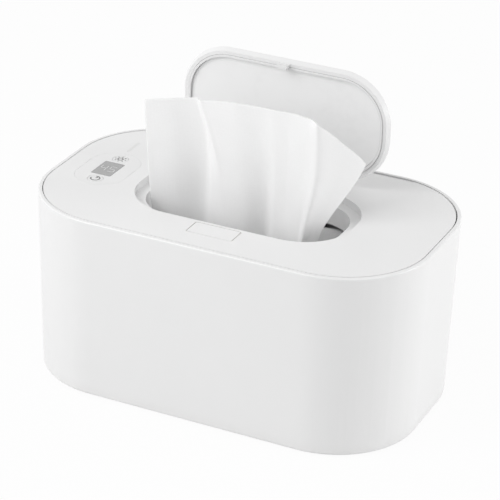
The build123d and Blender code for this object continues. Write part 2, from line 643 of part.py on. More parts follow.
def fold_section(z, ends, bulges):
    """The section of the folded sheet at height z."""
    with BuildSketch(Plane.XY.offset(z)) as flat:
        with BuildLine():
            fold_line(0, ends, bulges, 0)
            fold_line(0, ends, bulges, WIPE_T)
            for x, y in (ends[0], ends[-1]):
                Line((x, y), (x, y + WIPE_T))
        make_face()
    return flat.sketch


with BuildPart() as wipe:
    loft([fold_section(STACK_TOP + WIPE_CLEAR, WIPE_TAIL_ENDS, WIPE_TAIL_BULGE),
          fold_section(WIPE_MOUTH_Z, WIPE_MOUTH_ENDS, WIPE_MOUTH_BULGE),
          fold_section(WIPE_CORNER_Z, WIPE_CORNER_ENDS, WIPE_CORNER_BULGE),
          fold_section(WIPE_TOP + WIPE_SPARE, WIPE_TOP_ENDS, WIPE_TOP_BULGE)], ruled=True)
    # The free edge of the sheet, seen from the front
    with BuildSketch(Plane.XZ.offset(WIDTH / 2)):
        with BuildLine():
            Polyline((-LENGTH / 2, WIPE_CORNER_Z), *[(x, WIPE_TOP - drop) for x, drop in WIPE_EDGE],
                     (WIPE_FREE_X, WIPE_CORNER_Z), (LENGTH / 2, WIPE_CORNER_Z),
                     (LENGTH / 2, WIPE_TOP + HEIGHT), (-LENGTH / 2, WIPE_TOP + HEIGHT), close=True)
        make_face()
    extrude(amount=-WIDTH, mode=Mode.SUBTRACT)
save(wipe, "wipe")

# ------------------------------------------------------------------------ top cover
hook_slot_x = HOOK_W / 2 + HOOK_SLOT_GAP
pocket_x = POCKET_W / 2


def cover_oval(z, inset):
    """The cover's outline at height z, straight at the rear where it meets the hinge."""
    side = SHELL_WALL + COVER_GAP + inset
    with BuildSketch(Plane.XY.offset(z)) as flat:
        RectangleRounded(LENGTH - 2 * side, WIDTH - 2 * side, CORNER_R - side)
        with Locations((0, -COVER_EASE)):
            RectangleRounded(LENGTH - 2 * side, WIDTH - 2 * side, CORNER_R - side,
                             mode=Mode.INTERSECT)
        with Locations((0, COVER_REAR - inset + WIDTH / 2)):
            Rectangle(LENGTH, WIDTH, mode=Mode.SUBTRACT)
    return flat.sketch


def button_oval(z, grow):
    """The outline of the button's hole at height z, moved out by grow."""
    return oval(z, BUTTON_L + 2 * grow, BUTTON_W + 2 * grow, BUTTON_R + max(grow, -BUTTON_GAP),
                SEAT_X, BUTTON_Y)


with BuildPart() as top_cover:
    extrude(cover_oval(SKIN_Z, 0), amount=COVER_T)
    skirt_h = SKIN_Z - SKIRT_Z
    extrude(cover_oval(SKIRT_Z, SKIRT_INSET), amount=skirt_h)
    extrude(cover_oval(SKIRT_Z, SKIRT_INSET + SKIRT_T), amount=skirt_h, mode=Mode.SUBTRACT)
    # Seat of the flip lid, ledge, mouth and collar
    extrude(seat_oval(LEDGE_UNDER, -SEAT_WALL), amount=SKIN_Z - LEDGE_UNDER)
    extrude(seat_oval(COLLAR_Z, LEDGE_W - COLLAR_T), amount=COLLAR_H)
    # Pocket of the lid's hinge, behind the seat
    pocket_rear = LID_AXIS_Y + POCKET_R
    pocket_front = LID_AXIS_Y - POCKET_R
    pocket_z = LID_AXIS_Z - POCKET_R
    cheek_x = pocket_x + POCKET_CHEEK
    block(SEAT_X - cheek_x, SEAT_X + cheek_x, pocket_front - POCKET_WALL,
          pocket_rear + POCKET_WALL, pocket_z - POCKET_WALL, SKIN_Z)
    # Well of the latch button
    extrude(button_oval(WELL_Z, BUTTON_FLANGE + WELL_GAP + WELL_T), amount=SKIN_Z - WELL_Z)
    # Screw bosses for the under plate
    with Locations([(x, y, (UNDER_TOP + SKIN_Z) / 2) for x, y in under_screw_spots]):
        Cylinder(UNDER_BOSS_R, SKIN_Z - UNDER_TOP)
    # Knuckles of the rear hinge
    for station in knuckle_spots:
        knuckle_x = KNUCKLE_W / 2
        along_x(HINGE_R, station - knuckle_x, station + knuckle_x, HINGE_Y, HINGE_Z)
        block(station - knuckle_x, station + knuckle_x, COVER_REAR - COVER_T, HINGE_Y,
              SKIN_Z, HEIGHT)
        along_x(HINGE_PIN_R + PIN_CLEAR, station - LENGTH / 10, station + LENGTH / 10,
                HINGE_Y, HINGE_Z, mode=Mode.SUBTRACT)
    # Hollows
    extrude(seat_oval(LEDGE_Z, 0), amount=SEAT_D, mode=Mode.SUBTRACT)
    extrude(seat_oval(COLLAR_Z, LEDGE_W), amount=HEIGHT - COLLAR_Z, mode=Mode.SUBTRACT)
    block(SEAT_X - pocket_x, SEAT_X + pocket_x, pocket_front, pocket_rear, pocket_z,
          HEIGHT, mode=Mode.SUBTRACT)
    block(SEAT_X - pocket_x, SEAT_X + pocket_x, SEAT_REAR - SEAT_WALL, LID_AXIS_Y, LEDGE_Z,
          HEIGHT, mode=Mode.SUBTRACT)
    along_x(LID_PIN_R + PILOT_CLEAR, SEAT_X - cheek_x, SEAT_X + cheek_x,
            LID_AXIS_Y, LID_AXIS_Z, mode=Mode.SUBTRACT)
    extrude(button_oval(WELL_Z, BUTTON_FLANGE + WELL_GAP), amount=SKIN_Z - WELL_Z,
            mode=Mode.SUBTRACT)
    extrude(button_oval(WELL_Z, 0), amount=HEIGHT - WELL_Z, mode=Mode.SUBTRACT)
    block(SEAT_X - hook_slot_x, SEAT_X + hook_slot_x, HOOK_TIP_Y - HOOK_SLOT_GAP,
          HOOK_REAR + HOOK_SLOT_GAP, LEDGE_UNDER, LEDGE_Z, mode=Mode.SUBTRACT)
    # Control panel: sunk bed of the label, window and key holes, status slot
    extrude(oval(HEIGHT - OVERLAY_T, PANEL_W, PANEL_L, PANEL_W / 2 - PART_GAP, PANEL_X, PANEL_Y),
            amount=OVERLAY_T, mode=Mode.SUBTRACT)
    extrude(oval(SKIN_Z, WINDOW_W, WINDOW_L, WINDOW_R, PANEL_X, PANEL_Y), amount=COVER_T,
            mode=Mode.SUBTRACT)
    with Locations([(PANEL_X, y, SKIN_Z + COVER_T / 2) for y in KEY_Y]):
        Cylinder(KEY_R + KEY_GAP, COVER_T, mode=Mode.SUBTRACT)
    extrude(oval(SKIN_Z, STATUS_W, STATUS_L, STATUS_W / 2 - PILOT_CLEAR, STATUS_X, STATUS_Y),
            amount=COVER_T, mode=Mode.SUBTRACT)
    with Locations([(x, y, UNDER_TOP) for x, y in under_screw_spots]):
        Cylinder(UNDER_SCREW_R + PILOT_CLEAR, SKIN_Z - UNDER_TOP, mode=Mode.SUBTRACT)
save(top_cover, "top_cover")

# ---------------------------------------------------------------------- under plate
rail_x = BOLT_W / 2 + PART_GAP
with BuildPart() as under_plate:
    extrude(cover_oval(UNDER_Z, SKIRT_INSET + SKIRT_T + FIT_GAP), amount=UNDER_T)
    extrude(seat_oval(UNDER_Z, LEDGE_W - COLLAR_T - FIT_GAP), amount=UNDER_T, mode=Mode.SUBTRACT)
    block(SEAT_X - cheek_x - FIT_GAP, SEAT_X + cheek_x + FIT_GAP, SEAT_Y,
          pocket_rear + POCKET_WALL + FIT_GAP, UNDER_Z, UNDER_TOP, mode=Mode.SUBTRACT)
    # Guides of the latch bolt, and the stop of its spring
    for side in (-1, 1):
        near = SEAT_X + side * rail_x
        far = SEAT_X + side * (rail_x + RAIL_W)
        shelf = SEAT_X + side * (rail_x - RAIL_SHELF)
        guide_end = BOLT_TIP - BOLT_NOSE_L
        block(min(near, far), max(near, far), BOLT_END - LATCH_TRAVEL, guide_end,
              UNDER_TOP, BOLT_Z + BOLT_T)
        block(min(near, shelf), max(near, shelf), BOLT_END - LATCH_TRAVEL, guide_end,
              UNDER_TOP, BOLT_Z - PILOT_CLEAR)
    block(SEAT_X - RAMP_W / 2, SEAT_X + RAMP_W / 2, SPRING_END - STOP_T, SPRING_END,
          UNDER_TOP, WELL_Z)
    # Posts under the display board
    post_x = DISPLAY_BOARD_W / 2 - 2 * BOARD_T
    post_y = DISPLAY_BOARD_L / 2 - 2 * BOARD_T
    post_h = DISPLAY_Z - BOARD_T - UNDER_TOP
    with Locations([(PANEL_X + x, PANEL_Y + y, UNDER_TOP + post_h / 2)
                    for x in (-post_x, post_x) for y in (-post_y, post_y)]):
        Cylinder(BOARD_T, post_h)
    with Locations([(x, y, UNDER_Z + UNDER_T / 2) for x, y in under_screw_spots]):
        Cylinder(UNDER_SCREW_R + FIT_GAP, UNDER_T, mode=Mode.SUBTRACT)
    with Locations([(x, y, UNDER_Z + UNDER_HEAD_H / 2) for x, y in under_screw_spots]):
        Cylinder(UNDER_HEAD_R + FIT_GAP, UNDER_HEAD_H, mode=Mode.SUBTRACT)
save(under_plate, "under_plate")

with BuildPart() as under_plate_screws:
    screw_l = (SKIN_Z - UNDER_TOP) / 2
    with Locations([(x, y, UNDER_Z + UNDER_HEAD_H / 2) for x, y in under_screw_spots]):
        Cylinder(UNDER_HEAD_R, UNDER_HEAD_H)
    with Locations([(x, y, UNDER_Z + UNDER_HEAD_H + screw_l / 2) for x, y in under_screw_spots]):
        Cylinder(UNDER_SCREW_R, screw_l)
save(under_plate_screws, "under_plate_screws")

# -------------------------------------------------------------------- control panel
with BuildPart() as panel_overlay:
    extrude(oval(HEIGHT - OVERLAY_T, PANEL_W - PART_GAP, PANEL_L - PART_GAP,
                 PANEL_W / 2 - 2 * PART_GAP, PANEL_X, PANEL_Y), amount=OVERLAY_T)
    extrude(oval(HEIGHT - OVERLAY_T, WINDOW_W, WINDOW_L, WINDOW_R, PANEL_X, PANEL_Y),
            amount=OVERLAY_T, mode=Mode.SUBTRACT)
    with Locations([(PANEL_X, y, HEIGHT - OVERLAY_T / 2) for y in KEY_Y]):
        Cylinder(KEY_R + KEY_GAP, OVERLAY_T, mode=Mode.SUBTRACT)
save(panel_overlay, "panel_overlay")

with BuildPart() as display_window:
    extrude(oval(SKIN_Z, WINDOW_W - PART_GAP, WINDOW_L - PART_GAP, WINDOW_R - PART_GAP / 2,
                 PANEL_X, PANEL_Y), amount=COVER_T)
    extrude(oval(LENS_FLANGE_Z, WINDOW_W + 2 * WINDOW_FLANGE, WINDOW_L - PART_GAP, WINDOW_R,
                 PANEL_X, PANEL_Y), amount=LENS_FLANGE_T)
save(display_window, "display_window")

with BuildPart() as status_lens:
    extrude(oval(SKIN_Z, STATUS_W - PART_GAP / 2, STATUS_L - PART_GAP, (STATUS_W - PART_GAP) / 2,
                 STATUS_X, STATUS_Y), amount=COVER_T)
    extrude(oval(LENS_FLANGE_Z, 2 * STATUS_W, STATUS_L + STATUS_W, STATUS_W / 2,
                 STATUS_X, STATUS_Y), amount=LENS_FLANGE_T)
save(status_lens, "status_lens")

with BuildPart() as display_board:
    extrude(oval(DISPLAY_Z - BOARD_T, DISPLAY_BOARD_W, DISPLAY_BOARD_L, BOARD_T,
                 PANEL_X, PANEL_Y), amount=BOARD_T)
save(display_board, "display_board")

with BuildPart() as digit_module:
    block(PANEL_X - WINDOW_W / 2, PANEL_X + WINDOW_W / 2, PANEL_Y - WINDOW_L / 2 + PART_GAP,
          PANEL_Y + WINDOW_L / 2 - PART_GAP, DISPLAY_Z, DISPLAY_Z + MODULE_H)
    fillet(digit_module.edges().filter_by(Axis.Z), WINDOW_R)
save(digit_module, "digit_module")

key_flange_top = SKIN_Z - PART_GAP
key_bottom = key_flange_top - KEY_FLANGE_T
switch_top = key_bottom - KEY_TRAVEL - PART_GAP
with BuildPart() as key_switches:
    switch_h = switch_top - DISPLAY_Z
    with Locations([(PANEL_X, y, DISPLAY_Z + switch_h / 3) for y in KEY_Y]):
        Box(SWITCH_SIDE, SWITCH_SIDE, switch_h * 2 / 3)
    with Locations([(PANEL_X, y, switch_top - switch_h / 4) for y in KEY_Y]):
        Cylinder(SWITCH_SIDE / 4, switch_h / 2)
save(key_switches, "key_switches")

for key_name, key_y in zip(("power_key", "heat_key"), KEY_Y):
    with BuildPart() as key:
        with Locations((PANEL_X, key_y, (key_flange_top + HEIGHT) / 2)):
            Cylinder(KEY_R, HEIGHT - key_flange_top)
        fillet(key.edges().group_by(Axis.Z)[-1], PART_GAP)
        with Locations((PANEL_X, key_y, key_bottom + KEY_FLANGE_T / 2)):
            Cylinder(KEY_R + KEY_FLANGE, KEY_FLANGE_T)
    save(key, key_name)

# ---------------------------------------------------------------------------- latch
with BuildPart() as latch_button:
    flange_top = SKIN_Z - PART_GAP
    flange_z = flange_top - BUTTON_FLANGE_T
    extrude(button_oval(flange_z, -BUTTON_GAP), amount=HEIGHT - flange_z)
    fillet(latch_button.edges().group_by(Axis.Z)[-1], PART_GAP)
    extrude(button_oval(flange_z, BUTTON_FLANGE), amount=BUTTON_FLANGE_T)
    extrude(button_oval(flange_z, -BUTTON_GAP - BUTTON_WALL), amount=SKIN_Z - flange_z,
            mode=Mode.SUBTRACT)
    with BuildSketch(Plane.YZ.offset(SEAT_X - RAMP_W / 2)):
        with BuildLine():
            Polyline((WEDGE_BACK, SKIN_Z), (WEDGE_BACK, WEDGE_TIP_Z), (WEDGE_TIP_Y, WEDGE_TIP_Z),
                     (WEDGE_TIP_Y - WEDGE_RUN, WEDGE_TIP_Z + WEDGE_RUN),
                     (WEDGE_TIP_Y - WEDGE_RUN, SKIN_Z), close=True)
        make_face()
    extrude(amount=RAMP_W)
save(latch_button, "latch_button")

with BuildPart() as latch_bolt:
    bolt_top = BOLT_Z + BOLT_T
    block(SEAT_X - BOLT_W / 2, SEAT_X + BOLT_W / 2, BOLT_END, BOLT_TIP - BOLT_NOSE_L,
          BOLT_Z, bolt_top)
    block(SEAT_X - BOLT_NOSE_W / 2, SEAT_X + BOLT_NOSE_W / 2, BOLT_TIP - 2 * BOLT_NOSE_L, BOLT_TIP,
          BOLT_Z, bolt_top)
    ramp_foot = WEDGE_TIP_Y + WEDGE_TIP_Z - bolt_top - WEDGE_GAP
    block(SEAT_X - RAMP_W / 2 - PART_GAP, SEAT_X + RAMP_W / 2 + PART_GAP, ramp_foot,
          WEDGE_BACK + LATCH_TRAVEL + PART_GAP, BOLT_Z, bolt_top, mode=Mode.SUBTRACT)
    with BuildSketch(Plane.YZ.offset(SEAT_X - RAMP_W / 2)):
        with BuildLine():
            Polyline((ramp_foot, bolt_top), (ramp_foot - RAMP_H, bolt_top + RAMP_H),
                     (ramp_foot - RAMP_H - RAMP_L, bolt_top + RAMP_H),
                     (ramp_foot - RAMP_H - RAMP_L, bolt_top), close=True)
        make_face()
    extrude(amount=RAMP_W)
save(latch_bolt, "latch_bolt")


def coil(name, wire_r, radius, pitch, length, start, direction):
    """The wire of a coil spring that starts at a point and runs in a direction."""
    with BuildLine() as winding:
        Helix(pitch, length, radius, center=start, direction=direction)
    steps = round(COIL_POINTS * length / pitch)
    points = [winding.line @ (i / steps) for i in range(steps + 1)]
    least = min((points[i] - points[k]).length for i in range(steps + 1)
                for k in range(i + COIL_POINTS // 2, steps + 1))
    print(name, "least gap to itself", round(least - 2 * wire_r, 2), "mm")
    with BuildSketch(Plane(winding.line @ 0, z_dir=winding.line % 0)) as section:
        Circle(wire_r)
    return sweep(section.sketch, path=winding.line, is_frenet=True)


with BuildPart() as latch_spring:
    coil("latch_spring", SPRING_WIRE_R, SPRING_R, SPRING_PITCH, SPRING_TURNS * SPRING_PITCH,
         (SEAT_X, SPRING_END + SPRING_WIRE_R, BOLT_Z + BOLT_T / 2), (0, 1, 0))
save(latch_spring, "latch_spring")

# ------------------------------------------------------------------------- flip lid
# The lid is drawn shut in its own frame, which has its origin on the hinge axis, and
# that frame is turned back by the angle at which the lid stands open
lid_frame = Plane((SEAT_X, LID_AXIS_Y, LID_AXIS_Z)).rotated((-LID_OPEN, 0, 0))
lid_mid = SEAT_Y - LID_AXIS_Y
lid_under = LID_UNDER - LID_AXIS_Z
lid_slope = degrees(atan(LID_INSET / LID_T))


def lid_oval(z, inset):
    """The lid's outline in its own frame, moved in by inset from its top edge."""
    with BuildSketch(lid_frame.offset(z)) as flat:
        with Locations((0, lid_mid)):
            RectangleRounded(LID_L - 2 * inset, LID_W - 2 * inset, LID_R - inset)
    return flat.sketch


def lid_block(x0, x1, y0, y1, z0, z1):
    """A box in the frame of the shut lid."""
    with BuildSketch(lid_frame.offset(z0)) as flat:
        with Locations(((x0 + x1) / 2, (y0 + y1) / 2)):
            Rectangle(x1 - x0, y1 - y0)
    return extrude(flat.sketch, amount=z1 - z0)


with BuildPart() as flip_lid:
    extrude(lid_oval(lid_under, LID_INSET), amount=LID_T, taper=-lid_slope)
    rear_to_front = lid_frame.z_dir
    fillet(flip_lid.edges().group_by(Axis((0, 0, 0), rear_to_front))[-1], LID_EDGE_ROUND)
    arm_end = ARM_X + ARM_T / 2
    lid_block(-arm_end, arm_end, -LID_AXIS_BACK - LID_INSET, 0, SLAB_IN, ARM_R)
    for side in (-1, 1):
        middle = SEAT_X + side * ARM_X
        along_x(ARM_R, middle - ARM_T / 2, middle + ARM_T / 2, LID_AXIS_Y, LID_AXIS_Z)
        along_x(LID_PIN_R + PIN_CLEAR, middle - ARM_T, middle + ARM_T, LID_AXIS_Y, LID_AXIS_Z,
                mode=Mode.SUBTRACT)
    extrude(lid_oval(lid_under, LID_INSET + LID_RIM_W), amount=LID_T - LID_SKIN, mode=Mode.SUBTRACT)
    # Hook for the latch, at the front of the underside
    hook_x = HOOK_W / 2
    hook_z = HOOK_TIP_Z - LID_AXIS_Z
    lid_block(-hook_x, hook_x, HOOK_FRONT - LID_AXIS_Y, HOOK_REAR - LID_AXIS_Y, hook_z, lid_under)
    lid_block(-hook_x, hook_x, HOOK_TIP_Y - LID_AXIS_Y, HOOK_FRONT - LID_AXIS_Y,
              hook_z, hook_z + HOOK_NOSE_T)
save(flip_lid, "flip_lid")

seal_in = LID_INSET + LID_RIM_W + PART_GAP
with BuildPart() as lid_seal:
    seal_h = LID_T - LID_SKIN + SEAL_PROUD
    extrude(lid_oval(lid_under - SEAL_PROUD, seal_in), amount=seal_h)
    extrude(lid_oval(lid_under - SEAL_PROUD, seal_in + SEAL_W), amount=seal_h, mode=Mode.SUBTRACT)
save(lid_seal, "lid_seal")

with BuildPart() as lid_liner:
    liner_in = seal_in + SEAL_W + PART_GAP
    liner_z = lid_under + LID_T - LID_SKIN - LINER_T
    extrude(lid_oval(liner_z, liner_in), amount=LINER_T)
save(lid_liner, "lid_liner")

with BuildPart() as lid_hinge_pin:
    along_x(LID_PIN_R, SEAT_X - cheek_x, SEAT_X + cheek_x, LID_AXIS_Y, LID_AXIS_Z)
save(lid_hinge_pin, "lid_hinge_pin")

coil_l = LID_SPRING_TURNS * LID_SPRING_PITCH
coil_x = SEAT_X - coil_l / 2
slab_leg = SLAB_IN - PART_GAP
wall_leg = POCKET_R - PART_GAP
with BuildPart() as lid_spring:
    coil("lid_spring", LID_SPRING_WIRE_R, LID_SPRING_R, LID_SPRING_PITCH, coil_l,
         (coil_x, LID_AXIS_Y, LID_AXIS_Z), (1, 0, 0))
    # One leg on the back of the lid, the other on the rear wall of the pocket
    for leg_x, leg_z, leg_l in ((coil_x, LID_SPRING_R, slab_leg),
                                (coil_x + coil_l, -LID_SPRING_R, wall_leg)):
        leg_y = LID_AXIS_Y + (leg_l - LID_SPRING_WIRE_R) / 2
        with Locations(Location((leg_x, leg_y, LID_AXIS_Z + leg_z), (90, 0, 0))):
            Cylinder(LID_SPRING_WIRE_R, leg_l)
save(lid_spring, "lid_spring")
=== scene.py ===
# %% [markdown]
# # A baby wipe warmer, dressed over its engineering model
#
# The real object is a moulded box: a tall white wall, a flat top with a small lid that
# stands open, and one damp wipe pulled up through the mouth. The engineering model has
# every solid in its place. This lesson puts a finish on each of them, and models by hand
# what a solid can't show well: the cloth, the folded wipes, the printed signs, and the
# cross in each screw head.
#
# ## Load the engineering model
#
# Its pieces come in as loose triangles that never move.

# %% Load the engineering model
import json
import math
import random
from contextlib import contextmanager

import bpy
from mathutils import Matrix, Vector, noise

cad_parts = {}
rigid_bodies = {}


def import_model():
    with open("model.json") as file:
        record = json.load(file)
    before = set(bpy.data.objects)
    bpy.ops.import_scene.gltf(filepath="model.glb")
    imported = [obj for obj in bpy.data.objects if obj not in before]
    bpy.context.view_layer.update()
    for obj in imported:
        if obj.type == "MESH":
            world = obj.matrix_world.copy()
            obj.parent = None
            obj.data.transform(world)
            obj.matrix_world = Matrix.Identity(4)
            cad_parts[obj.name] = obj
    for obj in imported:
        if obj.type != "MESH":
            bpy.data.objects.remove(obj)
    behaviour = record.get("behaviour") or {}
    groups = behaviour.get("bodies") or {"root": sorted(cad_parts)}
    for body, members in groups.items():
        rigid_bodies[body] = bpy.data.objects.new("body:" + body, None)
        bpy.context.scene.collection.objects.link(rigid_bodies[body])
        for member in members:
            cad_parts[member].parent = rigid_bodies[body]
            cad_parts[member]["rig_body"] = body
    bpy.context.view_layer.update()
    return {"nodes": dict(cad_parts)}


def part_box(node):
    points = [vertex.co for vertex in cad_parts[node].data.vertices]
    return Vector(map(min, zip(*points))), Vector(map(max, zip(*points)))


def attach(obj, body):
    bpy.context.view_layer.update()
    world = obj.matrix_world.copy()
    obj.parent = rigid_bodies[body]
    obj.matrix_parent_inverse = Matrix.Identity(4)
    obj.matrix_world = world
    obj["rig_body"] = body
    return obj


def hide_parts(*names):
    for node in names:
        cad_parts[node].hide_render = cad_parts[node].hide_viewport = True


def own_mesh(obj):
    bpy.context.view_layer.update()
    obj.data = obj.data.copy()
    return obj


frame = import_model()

MM = 0.001

# %% [markdown]
# ## The camera
#
# The photograph is taken from in front, a little from the right and from above, with a
# long lens. A camera is placed by the direction it looks back along, the distance, and
# the point it looks at. Its three axes are written out, because a photograph is rarely
# quite level and a small roll is easier to add to axes than to angles.

# %% Place the camera
AZIMUTH = math.radians(24.47)
ELEVATION = math.radians(26.194)
ROLL = math.radians(1.985)
DISTANCE = 1.3476
AIM = Vector((2.013, 0.0, 80.527)) * MM
FOCAL_PX = 2318.83          # focal length in pixels of a picture 500 pixels wide
PICTURE_PX = 500


def placed(name, data):
    """A new object in the scene."""
    piece = bpy.data.objects.new(name, data)
    bpy.context.scene.collection.objects.link(piece)
    return piece


look_back = Vector((math.sin(AZIMUTH) * math.cos(ELEVATION),
                    -math.cos(AZIMUTH) * math.cos(ELEVATION), math.sin(ELEVATION)))
level_right = Vector((0, 0, 1)).cross(look_back).normalized()
level_up = look_back.cross(level_right)
right = level_right * math.cos(ROLL) + level_up * math.sin(ROLL)
up = level_up * math.cos(ROLL) - level_right * math.sin(ROLL)

camera_data = bpy.data.cameras.new("camera")
camera_data.sensor_width = 36.0
camera_data.lens = FOCAL_PX * camera_data.sensor_width / PICTURE_PX
camera_data.clip_start = 0.05
camera_data.clip_end = 20.0
camera = placed("camera", camera_data)
turned = Matrix((right, up, look_back)).transposed()
camera.matrix_world = Matrix.Translation(AIM + look_back * DISTANCE) @ turned.to_4x4()
bpy.context.scene.camera = camera
print("camera at", [round(value, 3) for value in camera.matrix_world.translation])

# %% [markdown]
# ## Shader sums as plain expressions
#
# A finish is a sum of small effects: a cloud of tone, a fine grain, a polished edge. A
# small class carries one value between nodes, so that `gloss - mask * 0.4` adds the Math
# nodes by itself, and one method makes every other node.

# %% The two classes that write shaders
MIX_FIRST, MIX_SECOND, MIX_RESULT = 6, 7, 2     # a Mix node's sockets for colours


class Wire:
    """One value on its way between shader nodes. Sums on it add Math nodes."""

    def __init__(self, finish, socket):
        self.finish = finish
        self.socket = socket

    def math(self, operation, first, second):
        return self.finish.add("ShaderNodeMath", {"operation": operation}, {0: first, 1: second})

    def __add__(self, other):
        return self.math("ADD", self, other)

    def __radd__(self, other):
        return self.math("ADD", other, self)

    def __sub__(self, other):
        return self.math("SUBTRACT", self, other)

    def __rsub__(self, other):
        return self.math("SUBTRACT", other, self)

    def __mul__(self, other):
        return self.math("MULTIPLY", self, other)

    def __pow__(self, other):
        return self.math("POWER", self, other)


class Finish:
    """A material under construction."""

    def __init__(self, name, **constants):
        self.material = bpy.data.materials.new(name)
        self.material.use_nodes = True
        self.tree = self.material.node_tree
        self.tree.nodes.clear()
        self.shader = self.tree.nodes.new("ShaderNodeBsdfPrincipled")
        ending = self.tree.nodes.new("ShaderNodeOutputMaterial")
        self.tree.links.new(self.shader.outputs[0], ending.inputs["Surface"])
        self.shader.inputs["Subsurface Radius"].default_value = (1, 1, 1)
        for socket, value in constants.items():
            self.shader.inputs[socket.replace("_", " ")].default_value = value

    def add(self, kind, settings=None, sockets=None, give=0):
        """A node of any type: its settings first, then the values or wires of its sockets."""
        node = self.tree.nodes.new(kind)
        for setting, value in (settings or {}).items():
            setattr(node, setting, value)
        for socket, value in (sockets or {}).items():
            if isinstance(value, Wire):
                self.tree.links.new(value.socket, node.inputs[socket])
            else:
                node.inputs[socket].default_value = value
        return Wire(self, node.outputs[give])

    def feed(self, **wires):
        """Lead wires to the shader's own sockets."""
        for socket, wire in wires.items():
            self.tree.links.new(wire.socket, self.shader.inputs[socket.replace("_", " ")])
        return self.material

    def place(self):
        """Where a point is on the object, in metres."""
        return self.add("ShaderNodeTexCoord", give="Object")

    def split(self, vector):
        """The three parts of a vector."""
        node = self.tree.nodes.new("ShaderNodeSeparateXYZ")
        self.tree.links.new(vector.socket, node.inputs[0])
        return [Wire(self, output) for output in node.outputs]

    def stretched(self, vector, scale):
        """The same place with each direction multiplied, to draw a pattern out."""
        return self.add("ShaderNodeMapping", {}, {"Vector": vector, "Scale": scale})

    def cloud(self, vector, size, detail=2.0):
        """Soft random patches about size metres across, from 0 to 1."""
        return self.add("ShaderNodeTexNoise", {},
                        {"Vector": vector, "Scale": 1.0 / size, "Detail": detail})

    def cells(self, vector, size, randomness=1.0, distance="EUCLIDEAN"):
        """How far a point is from the middle of its cell. Cells are about size metres."""
        return self.add("ShaderNodeTexVoronoi", {"distance": distance},
                        {"Vector": vector, "Scale": 1.0 / size, "Randomness": randomness})

    def ease(self, value, low, high):
        """0 at low and 1 at high, with a soft start and end."""
        return self.add("ShaderNodeMapRange", {"interpolation_type": "SMOOTHSTEP"},
                        {"Value": value, "From Min": low, "From Max": high})

    def blend(self, share, first, second):
        """A colour between two colours."""
        return self.add("ShaderNodeMix", {"data_type": "RGBA"},
                        {0: share, MIX_FIRST: first, MIX_SECOND: second}, give=MIX_RESULT)

    def relief(self, height, depth):
        """Small relief as a normal: height from 0 to 1 is depth metres."""
        return self.add("ShaderNodeBump", {}, {"Height": height, "Distance": depth},
                        give="Normal")

    def outside(self, at, middle, half_x, half_y, corner):
        """How far a point is outside a rounded rectangle, seen from above, in metres."""
        x, y = self.split(at)[:2]
        past = []
        for wire, centre, half in ((x, middle[0], half_x), (y, middle[1], half_y)):
            away = wire.math("ABSOLUTE", wire - centre, 0.0)
            past.append(wire.math("MAXIMUM", away - (half - corner), 0.0))
        return (past[0] * past[0] + past[1] * past[1]) ** 0.5 - corner


def grey(level, warm=0.0):
    """A plain colour of one brightness, a little warm or cool."""
    return (level * (1 + warm), level, level * (1 - warm), 1.0)


print("shader classes ready")

# %% [markdown]
# ## Satin white plastic
#
# The wall, the top and the lid are moulded in white ABS. The steel mould is etched with a
# fine grain, so the surface is satin, not glossy. Seen close it has a grain of about a
# third of a millimetre, slow changes of tone where the melt flowed, and a little polish
# where hands and the lid touch it. One function writes it for each of the white mouldings.
# It takes masks for the places that are polished, for real dust and painted shade, and for painted
# light.

# %% Satin white plastic
FLOW_SIZE = 60 * MM
FLOW_DARK, FLOW_LIGHT = 0.985, 1.01     # shares of the plastic's own tone
# the tone of real dust at the foot and of painted shade in the seams
DUST_AND_SHADE_TONE = 0.80
DUST_DULLS = 0.15
POLISH_SHINES = 0.13
# painted light: the whiter tone of the shaded plastic inside the mouth
MOUTH_PAINTED_LIGHT = 0.96


def moulded(name, level, roughness, grain=0.35 * MM, depth=0.004 * MM, warm=0.0,
            polish=None, dust=None, bright=None):
    """Moulded plastic with an etched grain. Each mask takes the finish and the place."""
    finish = Finish(name)
    at = finish.place()
    flow = finish.cloud(at, FLOW_SIZE, 3.0)
    etched = finish.cloud(at, grain)
    tone = finish.blend(flow, grey(level * FLOW_DARK, warm), grey(level * FLOW_LIGHT, warm))
    gloss = roughness + (flow - 0.5) * 0.05 + (etched - 0.5) * 0.10
    if dust:
        # the dust mask holds real dust on the wall and painted seam shade on the top
        darkened = dust(finish, at)
        tone = finish.blend(darkened, tone, grey(level * DUST_AND_SHADE_TONE, 0.02))
        gloss = gloss + darkened * DUST_DULLS
    if polish:
        gloss = gloss - polish(finish, at) * POLISH_SHINES
    # painted light inside the mouth: a whiter tone where the mask says
    if bright:
        tone = finish.blend(bright(finish, at), tone, grey(MOUTH_PAINTED_LIGHT, warm))
    return finish.feed(Base_Color=tone, Roughness=gloss, Normal=finish.relief(etched, depth))


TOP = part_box("top_cover")[1].z
HALF_X, HALF_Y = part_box("outer_shell")[1].xy
CORNER = 54 * MM
LID_MIDDLE = (1.5 * MM, -4.8 * MM)
SEAT_HALF = (66.8 * MM, 35.1 * MM)
SEAT_CORNER = 31 * MM
BUTTON_MIDDLE = (1.5 * MM, -48.75 * MM)
BUTTON_HALF = (14.25 * MM, 6.75 * MM)
BUTTON_CORNER = 1.4 * MM
RIM_HEIGHT = 4 * MM
DUST_HEIGHT = 9 * MM
RUBBED_WIDTH = 14 * MM
SEAM_FROM, SEAM_TO = -4.2 * MM, -2.8 * MM   # the seam, measured from the wall's outline
KEY_SEAM = 0.9 * MM
LEDGE_DEPTH = 5 * MM


def rim_polish(finish, at):
    """The rim is handled at every opening, and shines a little more than the wall."""
    height = finish.split(at)[2]
    return finish.ease(height, TOP - RIM_HEIGHT, TOP - 0.5 * MM)


def foot_dust(finish, at):
    """A trace of dust where the wall meets the table."""
    height = finish.split(at)[2]
    return finish.ease(height, DUST_HEIGHT, 1 * MM) * finish.cloud(at, 9 * MM, 3.0) * 0.25


